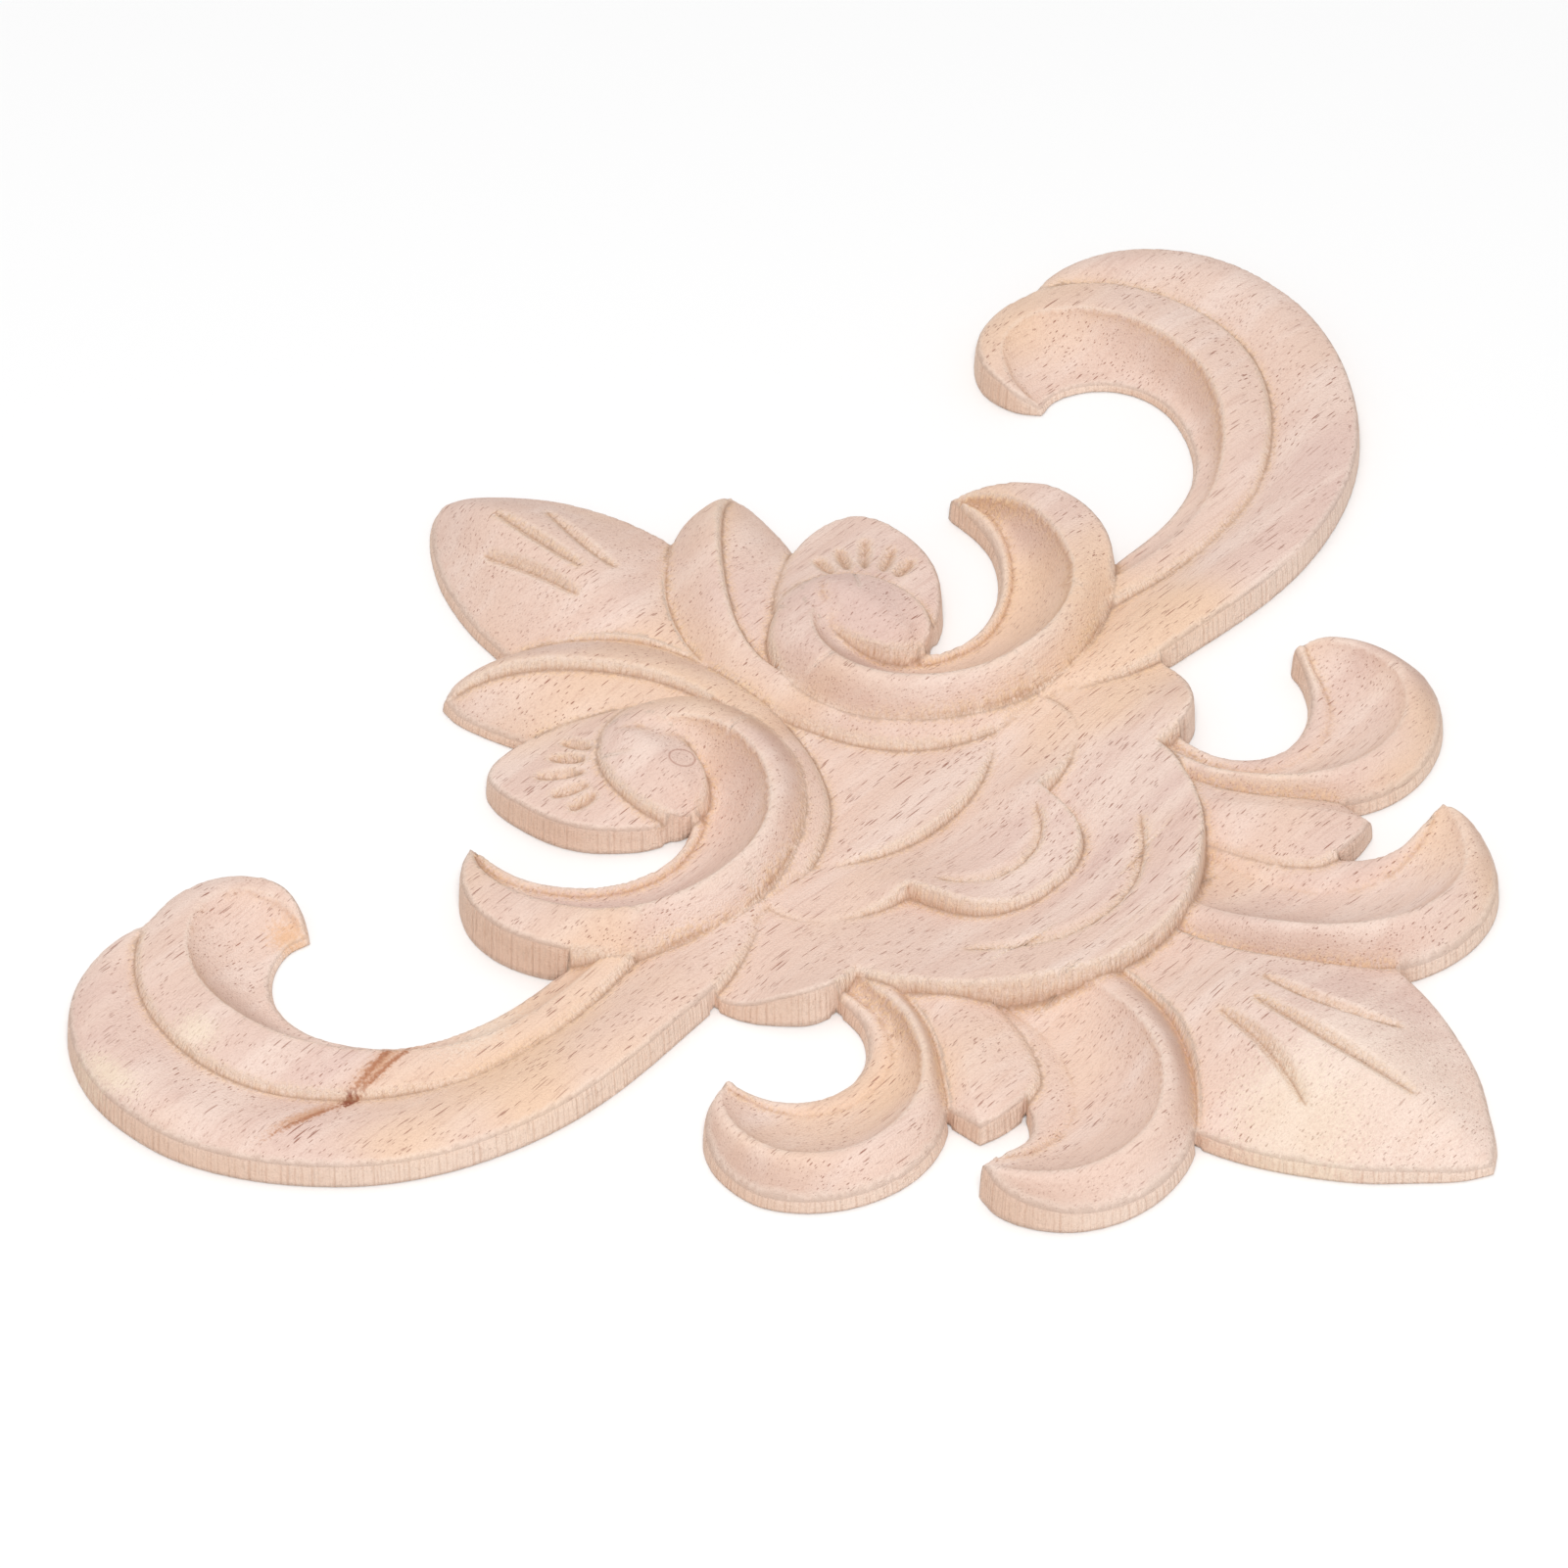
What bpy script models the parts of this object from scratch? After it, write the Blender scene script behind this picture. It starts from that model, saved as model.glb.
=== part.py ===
"""Carved wood applique: a symmetric scrolled ornament cut from one board, flat on its back.

The relief is a stack of carved forms. Each form is drawn by a few rails, which are smooth curves
through points (x, y, height) in millimetres, for the right-hand half. Between two rails the
surface follows a named profile. Forms are laid over each other from the drop leaf up, and each
ends in a steep tool-cut wall on the form below it.

Frame: metres, +Z out of the carved face, +Y to the crest leaf, +X to one wing. The origin is the
middle of the flat back.
"""
import math

import bmesh
import bpy
import numpy as np
from mathutils import Vector
from mathutils.geometry import delaunay_2d_cdt

# Driving dimensions, in millimetres
WIDTH = 288.0           # wing to wing, at the foot of the walls
LENGTH = 240.0          # crest tip to drop tip, at the foot of the walls
RELIEF = 1.0            # scale of all carved heights
WALL_RUN = 0.8          # how far a cut wall leans out between its top and its foot
OUTER_DRAFT = 0.5       # how far the outer wall leans out at the back
DROP_LEAN = 3.0         # the drop leaf's tip stands this far off the middle, to +X
LEAN_START = -72.0      # the drop leaf starts to lean below this y
MESH_STEP = 3.85        # spacing of the surface points
RAIL_STEP = 3.3         # spacing of the points along edges and ridges
GROOVE_END = 0.06       # a gouge starts and ends at the square root of this share of its depth
NOTCH = 0.4             # sine of the inward turn that makes a notch in the outline
EDGE_GAP = 1.25         # surface points keep this far from edges and ridges
FIELD_X = (0.5, 150.0)  # the surface points' range across
FIELD_Y = (-122.0, 126.0)
MIDDLE_Y = (-125.0, 130.0)  # ends of the line that the mesh follows along the middle
ON_MIDDLE = 0.06        # points closer to the middle line are set on it
ON_BORDER = 0.02        # points closer to a form's border belong to the form
MERGE_GAP = 0.05        # points and lines of the mesh closer than this become one
BACK_Z = 0.0            # height of the flat back
MM = 0.001

# The drawing's own size, which WIDTH and LENGTH stretch
DRAWN_WIDTH = 288.0
DRAWN_LENGTH = 240.0
DRAWN_MIDDLE_Y = 2.9

PALE_WOOD = (0.83, 0.66, 0.53, 1.0)


# Smooth curves

def smooth(points, level=False, step=RAIL_STEP, corners=()):
    """Points every step along a smooth curve through the given ones, sharp at the corners.

    A level curve starts square to the middle line, so that its mirror image carries it on.
    """
    points = np.array(points, float)
    cuts = [0, *corners, len(points) - 1]
    runs = []
    for first, last in zip(cuts, cuts[1:]):
        run = points[first:last + 1]
        head = 2 * run[0] - run[1]
        if level and first == 0:
            head = run[1] * (-1, 1, 1)
        tail = 2 * run[-1] - run[-2]
        runs.append(catmull_rom(np.vstack([head, run, tail]), step))
    return np.vstack([run[:-1] for run in runs] + [points[-1:]])


def catmull_rom(knots, step):
    """Centripetal curve through the inner knots, at even spacing."""
    pieces = []
    for p0, p1, p2, p3 in zip(knots, knots[1:], knots[2:], knots[3:]):
        t1 = math.dist(p0[:2], p1[:2]) ** 0.5
        t2 = t1 + math.dist(p1[:2], p2[:2]) ** 0.5
        t3 = t2 + math.dist(p2[:2], p3[:2]) ** 0.5
        t = np.linspace(t1, t2, 13)[:-1, None]
        a1 = (t1 - t) / t1 * p0 + t / t1 * p1
        a2 = (t2 - t) / (t2 - t1) * p1 + (t - t1) / (t2 - t1) * p2
        a3 = (t3 - t) / (t3 - t2) * p2 + (t - t2) / (t3 - t2) * p3
        b1 = (t2 - t) / t2 * a1 + t / t2 * a2
        b2 = (t3 - t) / (t3 - t1) * a2 + (t - t1) / (t3 - t1) * a3
        pieces.append((t2 - t) / (t2 - t1) * b1 + (t - t1) / (t2 - t1) * b2)
    dense = np.vstack(pieces + [knots[-2:-1]])
    run = np.concatenate([[0], np.hypot(*np.diff(dense[:, :2], axis=0).T).cumsum()])
    count = max(2, round(run[-1] / step) + 1)
    even = np.linspace(0, run[-1], count)
    return np.stack([np.interp(even, run, column) for column in dense.T], 1)


def nearest(rail, xy):
    """Distance to a rail, the rail's height there, and how far along it is, from 0 to 1."""
    start, leg = rail[:-1], np.diff(rail[:, :2], axis=0)
    reach = xy[:, None] - start[None, :, :2]
    along = np.clip((reach * leg).sum(2) / (leg * leg).sum(1), 0, 1)
    miss = ((reach - along[..., None] * leg) ** 2).sum(2)
    k = miss.argmin(1)
    row = np.arange(len(xy))
    t = along[row, k]
    height = start[k, 2] + t * (rail[k + 1, 2] - start[k, 2])
    return np.sqrt(miss[row, k]), height, (k + t) / len(leg)


def pull(rail, xy):
    """Distance to a rail and its height there, evened out where the rail bends.

    Every part of the rail counts, by the inverse cube of its distance.
    """
    leg = np.diff(rail[:, :2], axis=0)
    size = np.hypot(*leg.T)
    reach = xy[:, None] - rail[None, :-1, :2]
    behind = (reach * leg).sum(2) / size
    ahead = size - behind
    off = np.maximum((reach ** 2).sum(2) - behind ** 2, 1e-6)
    weight = (ahead / np.sqrt(off + ahead ** 2) + behind / np.sqrt(off + behind ** 2)) / off
    height = rail[:-1, 2] + np.clip(behind / size, 0, 1) * np.diff(rail[:, 2])
    total = weight.sum(1)
    return 1 / np.sqrt(total), (weight * height).sum(1) / total


def across_middle(rail):
    """A rail that starts on the middle line, carried on to the other side by its mirror image."""
    if abs(rail[0, 0]) > 1e-9 or abs(rail[1, 0]) < 1e-9:
        return rail
    return np.vstack([rail[:0:-1] * (-1, 1, 1), rail])


def inside(ring, xy):
    """Which points lie inside a closed ring."""
    x, y = ring[:, 0], ring[:, 1]
    x2, y2 = np.roll(x, -1), np.roll(y, -1)
    spans = (y > xy[:, 1:]) != (y2 > xy[:, 1:])
    rise = np.where(y2 == y, 1e-12, y2 - y)
    crossing = x + (xy[:, 1:] - y) / rise * (x2 - x)
    return (spans & (xy[:, :1] < crossing)).sum(1) % 2 == 1


def closed_ring(rail, other):
    """The ring along one rail and back along another, without repeated points."""
    ring = np.vstack([rail, other[::-1]])
    step = np.hypot(*(ring - np.roll(ring, 1, 0))[:, :2].T)
    return ring[step > 1e-3]


# Cross profiles between two rails, from 0 at the first to 1 at the second

def flat(v):
    return v


def swelling(v):
    return np.sin(v * math.pi / 2)


def hollow_down(v):
    """A hollow that falls from the first rail to the second."""
    return np.sin(v * math.pi / 2) ** 0.75


def swelling_down(v):
    """A swell that falls from the first rail to the second."""
    return 1 - np.cos(v * math.pi / 2)


class Groove:
    """A tapering gouge cut along a curve, with its own width on the left and on the right."""

    def __init__(self, points, left, right, depth):
        self.rail = smooth([(*p, 0.0) for p in points])
        self.left = left
        self.right = right
        self.depth = depth

    def cut(self, xy):
        distance, _, along = nearest(self.rail, xy)
        leg = np.diff(self.rail[:, :2], axis=0)
        k = np.minimum((along * len(leg)).astype(int), len(leg) - 1)
        reach = xy - self.rail[k, :2]
        on_left = leg[k, 0] * reach[:, 1] > leg[k, 1] * reach[:, 0]
        across = np.clip(1 - distance / np.where(on_left, self.left, self.right), 0, 1)
        return self.depth * across * np.sqrt(np.sin(along * math.pi).clip(GROOVE_END, 1))


class Form:
    """One carved form: rails from one border to the other, a profile and a bulge per strip.

    A form that emerges shows only where it is higher than the one below.
    """

    def __init__(self, rails, profiles, bulges=None, grooves=(), emerges=False):
        self.emerges = emerges
        self.rails = rails
        self.profiles = profiles
        self.bulges = bulges or [0.0] * len(profiles)
        self.grooves = grooves
        self.ring = closed_ring(rails[0], rails[-1])
        self.border = np.vstack([self.ring, self.ring[:1]])

    def surface(self, xy):
        """Heights of points inside the form."""
        near = [pull(across_middle(rail), xy) for rail in self.rails]
        closest = np.argmin([distance for distance, _ in near], 0)
        z = np.choose(closest, [height for _, height in near])
        strips = zip(near, near[1:], self.rails, self.rails[1:], self.profiles, self.bulges)
        for (d1, z1), (d2, z2), rail1, rail2, profile, bulge in strips:
            within = inside(closed_ring(rail1, rail2), xy)
            v = d1 / (d1 + d2 + 1e-6)
            body = z1 + (z2 - z1) * profile(v) + bulge * np.sin(v * math.pi)
            z = np.where(within, body, z)
        for groove in self.grooves:
            z = z - groove.cut(xy)
        return z

    def lay_over(self, xy, z):
        """Heights after this form is laid over the ones below. NaN is open air."""
        low = self.ring[:, :2].min(0) - WALL_RUN
        high = self.ring[:, :2].max(0) + WALL_RUN
        close = np.flatnonzero(((xy > low) & (xy < high)).all(1))
        if not len(close):
            return z
        spot = xy[close]
        distance, edge, _ = nearest(self.border, spot)
        covered = inside(self.ring, spot) | (distance < ON_BORDER)
        z = z.copy()
        body = close[covered]
        skirt = ~covered & (distance < WALL_RUN)
        wall = close[skirt]
        slope = distance[skirt] / WALL_RUN
        below = z.copy()
        z[body] = self.surface(xy[body])
        z[wall] = edge[skirt] * (1 - slope) + z[wall] * slope
        if self.emerges:
            z = np.fmax(z, below)
        return z


# The carved forms of the right-hand half, from the bottom of the stack up

def drop_leaf():
    edge = smooth([(22, -40, 4), (25.5, -58, 4), (26.6, -70, 3.8), (25.4, -79, 3.5),
                   (22.4, -88.5, 3.4), (15.4, -101.5, 3.2), (9.2, -108.8, 2.8),
                   (4.2, -114, 2.3), (0, -116.6, 2)])
    spine = smooth([(0, -40, 4.3), (0, -52, 5.5), (0, -62, 8.6), (0, -72, 10.4), (0, -84, 10.8),
                    (0, -96, 9.8), (0, -107, 6.6), (0, -116.6, 2)])
    veins = [Groove([(0, -67), (0, -84), (0, -101)], 1.6, 1.6, 1.7),
             Groove([(5.4, -64.4), (6.6, -74), (9.2, -82), (12.4, -89)], 1.6, 1.6, 1.7)]
    return Form([edge, spine], [swelling], grooves=veins)


def inner_scroll():
    outer = smooth([(6.4, -30, 4), (6.6, -38, 4), (7.4, -47, 4.2), (9.8, -57, 4.4),
                    (13.3, -64, 4.2), (18.7, -70.8, 4), (26.5, -77.4, 3.6), (33, -80, 3.5),
                    (40.5, -80.7, 3.6), (48, -79, 4), (54, -75, 4.6), (57.9, -69.3, 5.6),
                    (59.3, -64, 6.8), (58.3, -59.3, 8)])
    ridge = smooth([(12, -30, 4.4), (12.4, -38, 4.8), (13.4, -47.5, 6.6), (15.8, -55.8, 8.5),
                    (20, -64, 9.8), (26.5, -70.5, 10.2), (34, -74.2, 10.2), (42, -74.6, 9.8),
                    (49, -72, 9.2), (54, -67.2, 8.7), (56.8, -62.8, 8.4), (58.3, -59.3, 8)])
    quirk = smooth([(25, -28, 2.5), (25.4, -36, 2.5), (26, -43.9, 2.5), (28, -49.9, 2.5),
                    (32, -56, 2.6), (37.4, -60.2, 3), (44, -61.9, 3.8), (49.5, -61.8, 5.3),
                    (53.5, -60.8, 6.8), (58.3, -59.3, 8)])
    inner = smooth([(28, -28, 3), (29, -34, 3), (31.4, -39.5, 3), (34.2, -44, 3), (36.8, -48, 3),
                    (39.4, -52, 3), (42, -55.7, 3.6), (45.3, -58.2, 4.4), (49, -59.3, 5.4),
                    (53.5, -59.4, 6.8), (58.3, -59.3, 8)])
    return Form([outer, ridge, quirk, inner], [swelling, hollow_down, flat],
                [0.3, 0, 0.7])


def dart():
    lower = smooth([(24, -18, 4), (25.4, -27, 4), (27.2, -34, 4), (29, -40, 4),
                    (31.6, -46, 4.2), (35.6, -51, 4.6), (40.4, -52.2, 5), (45.4, -52, 4.8),
                    (49.5, -51, 4.2)])
    ridge = smooth([(30, -18, 5.2), (32, -26, 5.6), (36, -33, 6), (40.5, -39.5, 6.2),
                    (45, -44.8, 5.8), (49.5, -51, 4.2)])
    upper = smooth([(38, -14, 3.8), (41, -22, 3.6), (46, -32, 3.4), (50, -39, 3.4), (49.8, -45, 3.8),
                    (49.5, -51, 4.2)])
    return Form([lower, ridge, upper], [swelling, flat])


def outer_scroll():
    outer = smooth([(34.4, -6, 4.6), (34.8, -14, 4.6), (36.2, -22, 4.3), (39.8, -31, 4),
                    (45.2, -38.4, 3.6), (50.8, -44.6, 3.2), (57, -47.6, 3), (63.5, -48.4, 3),
                    (70, -47.2, 3), (76, -44.3, 2.9), (81.2, -39.6, 2.8), (84.3, -34.4, 2.8),
                    (85, -29, 2.8), (84, -23.4, 3.2), (81.2, -18.8, 4.2), (77.8, -16.2, 5.5),
                    (73.5, -15.2, 6.5)])
    ridge = smooth([(38, -6, 5), (38.4, -15, 5.4), (39.6, -24, 6.2), (43.2, -31.2, 6.9),
                    (48, -36.8, 7.3), (54.5, -40.8, 7.5), (62.5, -42.2, 7.5), (70, -40.6, 7.5),
                    (75.4, -36.8, 7.5), (78.6, -31.5, 7.4), (79.2, -25, 7.2), (77.4, -19.5, 6.9),
                    (73.5, -15.2, 6.5)])
    quirk = smooth([(41.2, -6, 3.3), (41.2, -14, 3.3), (42, -21, 3.2), (44.4, -26, 3),
                    (48, -29.6, 2.8), (53, -31.5, 2.5), (58, -31.7, 2.4), (63, -30, 2.4),
                    (67.2, -26.8, 2.7), (70, -22.6, 3.3), (71.6, -18.8, 4.4), (73.5, -15.2, 6.5)])
    inner = smooth([(44, -6, 3.6), (43.4, -12, 3.6), (43.7, -17, 3.2), (45, -21, 2.7),
                    (48, -24.6, 2.3), (52.5, -26.9, 2), (57.2, -27.3, 2), (62, -26, 2.3),
                    (66, -23.5, 2.9), (68.8, -20.3, 3.6), (70.4, -17.6, 4.6), (71.6, -14.8, 6.4),
                    (73.5, -15.2, 6.5)])
    return Form([outer, ridge, quirk, inner], [swelling, hollow_down, flat],
                [0.3, 0, 0.7])


def lower_shield():
    top = smooth([(0, -14, 1.6), (11, -12, 2), (20, 0, 2.2), (32, 10, 2.8), (46, 12, 3),
                  (56.5, 6, 2.4)], level=True)
    edge = smooth([(0, -44.6, 9), (9.5, -43.3, 9.2), (18, -39.4, 9.4), (27.1, -32.5, 9),
                   (33.2, -24.6, 8.2), (36.9, -17, 7.2), (38.2, -12.4, 6.4), (43.5, -13, 7.6),
                   (48.4, -11.6, 8), (52, -8, 6.4), (54.6, -4.4, 4.4), (56.2, 0, 2.9),
                   (56.5, 6, 2.4)], level=True, corners=(6,))
    arc = Groove([(-6, -34), (0, -34.7), (9, -33), (16.5, -28.4), (22.5, -22.5)], 2.3, 0.4, 1.1)
    return Form([edge, top], [flat], grooves=[arc])


def upper_shield():
    top = smooth([(0, 5, 1.2), (10, 7, 1.5), (20, 13, 2), (27, 16, 2.5), (34.7, 12.6, 3.5)],
                 level=True)
    edge = smooth([(0, -22.3, 6), (4.5, -22, 6.2), (9.2, -20.3, 6.6), (12.6, -17.4, 7),
                   (14.7, -13.4, 7), (15.8, -9, 6.8), (16.6, -4.8, 6.2), (22, -4.2, 5),
                   (27, -2.3, 4.2), (31.2, 0.6, 4), (33.8, 3.6, 4), (34.9, 8, 3.8),
                   (34.7, 12.6, 3.5)], level=True, corners=(6,))
    arc = Groove([(-5, -14.2), (0, -15), (5, -14.2), (9.4, -11.6), (12.6, -7.4)], 2.3, 0.4, 1.1)
    return Form([edge, top], [flat], grooves=[arc])


def dish():
    spine = smooth([(0, 46, 2.6), (0, 32, 2.6), (0, 18, 2.6), (0, 3.2, 4.2)])
    edge = smooth([(0, 46, 2.6), (4, 38, 2.1), (7.5, 27, 1.7), (14, 19, 1.7), (25, 13, 2),
                   (19.5, 9.2, 2.8), (13, 5.6, 3.7), (6, 3.6, 4.1), (0, 3.2, 4.2)], corners=(4,))
    return Form([edge, spine], [flat])


def crest_leaf():
    edge = smooth([(0, 55, 3.6), (6, 62, 3.4), (12, 70, 3), (17.5, 78, 2.6), (20.2, 86, 2.3),
                   (19.8, 91, 2.4), (18.8, 96.2, 2.5), (17, 102, 2.5), (14.4, 108, 2.4),
                   (11, 113.4, 2.2), (7.2, 118, 2), (3.6, 121, 2), (0, 122.4, 2)])
    spine = smooth([(0, 55, 3.6), (0, 64, 5), (0, 75, 7.4), (0, 87, 9), (0, 98.5, 9.5),
                    (0, 109.5, 8.6), (0, 117, 5.6), (0, 122.4, 2)])
    veins = [Groove([(0, 88), (0, 98), (0, 109.5)], 1.5, 1.5, 1.5),
             Groove([(4.7, 84), (5.4, 92.5), (7.9, 104.5)], 1.5, 1.5, 1.5)]
    return Form([edge, spine], [swelling], grooves=veins)


def side_leaf_under():
    midrib = smooth([(6, 42, 4.4), (6.3, 49.5, 4.7), (7.4, 55, 5.1), (9.6, 60.4, 5.8),
                     (13, 65.6, 6.6), (17.6, 71.3, 7.1), (22.4, 76.3, 7), (27, 80.5, 6.2),
                     (32, 84.2, 4.4), (36, 86.2, 2.4)])
    outer = smooth([(14, 40, 5), (20, 50, 5), (27, 59, 4), (32, 66, 2.6), (34.2, 71, 2),
                    (35.8, 77, 2), (36.6, 82.5, 2.2), (36, 86.2, 2.6)])
    return Form([midrib, outer], [swelling_down])


def side_leaf_over():
    upper = smooth([(36, 86.2, 2.6), (33, 87.7, 2.5), (28.5, 88, 2.4), (24, 87, 2.8),
                    (20, 84.9, 3.6), (15.7, 81.9, 4.4), (11.5, 78.6, 4.7), (7.4, 74.5, 4.7),
                    (3.6, 69, 4.6), (1.2, 63.1, 4.2), (0, 57, 4.2), (0, 50, 4.8), (0, 43, 4.2),
                    (1.4, 37.3, 3.9), (3.3, 31.2, 3.9), (6.6, 24.6, 3.8), (10.7, 19.4, 3.6),
                    (15.2, 15.9, 3.4), (20, 13.3, 3.3), (26, 11.6, 3.3), (34.7, 11.2, 3.6)])
    midrib = smooth([(36, 86.2, 2.6), (32, 84.2, 5.8), (27, 80.5, 8.5), (22.4, 76.3, 9.5),
                     (17.6, 71.3, 9.4), (13, 65.6, 8.9), (9.6, 60.4, 7.9), (7.4, 55, 7),
                     (6.4, 49.5, 6.4), (7, 42, 6.3), (8.2, 35, 6.3), (11.6, 28, 6.2),
                     (17, 22.4, 6.2), (23, 18.6, 5.8), (29, 16.4, 5.2), (36, 15, 4.6)])
    return Form([upper, midrib], [swelling])


def outer_band():
    foot = smooth([(34.8, 17, 2.2), (48, 19, 2.2), (63, 19.5, 2.2), (76, 18.6, 2),
                   (90, 20, 2), (100, 22.6, 2.1), (110, 28, 2.5), (116.5, 34.5, 2.9),
                   (121.5, 43, 3.5), (123.4, 52, 4), (122, 62, 4.4), (117, 72, 4.8),
                   (110.1, 81.6, 5.4)])
    crown = smooth([(34.8, 13.2, 3.5), (48, 10.4, 5), (62, 8, 6.3), (76, 7.4, 6.5),
                    (90, 8.4, 6.3), (103, 12.4, 6), (114, 18.6, 5.8), (123.4, 26, 5.9),
                    (131, 36, 6.3), (136, 48, 6.8), (136, 60, 7), (131, 71, 7), (123, 77.6, 6.8),
                    (110.1, 81.6, 6)])
    edge = smooth([(34.8, 11, 3.4), (38.2, 9.6, 3.4), (43, 7, 4), (48.5, 4.6, 4.5),
                   (56.5, 2.7, 5), (65, 1.9, 5.4), (75, 1.2, 5.6), (84, 1.1, 5.6),
                   (94, 2.1, 5.4), (105, 4.9, 5.1), (115, 9.2, 4.8), (124, 15.2, 4.8),
                   (131.8, 23.2, 4.8), (138.2, 32.6, 4.9), (142.5, 43, 5), (143.7, 52.5, 5.2),
                   (143, 61, 5.3), (140.2, 68.8, 5.4), (136, 75, 5.3), (130.4, 79.6, 5.4),
                   (124, 82.2, 5.5), (117.5, 83, 5.6), (110.1, 81.6, 6)])
    return Form([foot, crown, edge], [swelling, swelling_down], [-0.5, 0.2])


def inner_band():
    outer = smooth([(56, 18.6, 5.2), (63, 17.2, 5), (70, 16.1, 4.7), (77, 15.7, 4.3),
                     (85, 16, 4.1), (92, 17, 4.1), (98, 18.4, 4.2), (104.5, 21.2, 4.6),
                     (111.5, 25.6, 5.1), (118.4, 31.8, 5.7), (124, 39.4, 6.2), (126.9, 48, 6.6),
                     (127.3, 57.4, 6.8), (125, 67, 7), (120.9, 74, 7.1), (116, 78.6, 7),
                     (110.1, 81.8, 6.5), (104.6, 83, 6.2), (99.6, 82.6, 6), (95.2, 80.8, 5.9),
                     (91.8, 77.6, 6), (89.9, 74.2, 6.1), (89.4, 70.6, 5.8), (90.2, 66.4, 3.8),
                     (92.4, 63, 1.6)])
    rim = smooth([(56, 21.6, 5.4), (66, 20.6, 5.3), (76, 20.2, 5), (86, 21.2, 5),
                  (94.5, 23.8, 5.3), (101.5, 27.8, 6), (107.5, 32.8, 6.9), (112.6, 39, 7.7),
                  (115.8, 46, 8.1), (117.2, 53.5, 8.3), (116.9, 61, 8.3), (114.8, 67.4, 8.2),
                  (110.6, 73, 8.1), (105, 76.6, 8), (99.4, 77, 7.6), (94.8, 74.8, 6.9),
                  (92.2, 71, 5.6), (91.6, 67, 3.8), (92.4, 63, 1.6)])
    edge = smooth([(56, 24.6, 3.2), (73, 24.8, 3.2), (80, 24.9, 3.3), (87, 26, 3.2),
                   (94.7, 28.9, 2.7), (99.8, 32.4, 2.2), (103.6, 36.6, 1.9), (106.6, 41.6, 1.8),
                   (108.4, 47, 1.7), (108.4, 52.4, 1.6), (106.6, 57.2, 1.6), (103.3, 60.9, 1.5),
                   (99.6, 63, 1.5), (96, 63.8, 1.5), (92.4, 63, 1.6)])
    return Form([outer, rim, edge], [swelling, hollow_down], [0.2, 0])


def shell_petal():
    outer = smooth([(17, 57.6, 7), (21, 60.6, 6.4), (25.4, 63.4, 5.4), (29.5, 66, 4.4),
                    (33.5, 67.8, 4), (38.4, 68.6, 3.9), (43, 68, 4), (46.2, 65.6, 4.6),
                    (47.7, 61.6, 5.3), (47.8, 56.5, 5.8), (47.2, 51.6, 5.9), (46, 47.6, 5.8),
                    (44, 43.9, 5.7), (41, 40.5, 5.5), (37.6, 37.5, 5.2), (33.6, 35.6, 4.6),
                    (29.2, 34.8, 3.6), (26, 36.6, 3.2), (24, 40, 3.4)])
    heart = smooth([(17, 54, 6.6), (21, 51.6, 6.4), (25, 49.5, 6), (27, 46.4, 5.4),
                    (26.4, 43, 4.6), (24, 41, 3.8)])
    return Form([outer, heart], [swelling], [1.5], flutes())


def flutes():
    """Five short flutes that fan out round the eye of the scroll."""
    eye = (27.5, 46.3)
    fan = []
    for turn, far in ((74, 16.4), (58, 17), (42, 19), (25, 17.4), (10, 16.2)):
        angle = math.radians(turn)
        ray = np.array([math.cos(angle), math.sin(angle)])
        fan.append(Groove([eye + ray * r for r in (10.2, (10.2 + far) / 2, far)], 1.4, 1.4, 1.5))
    return fan


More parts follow.
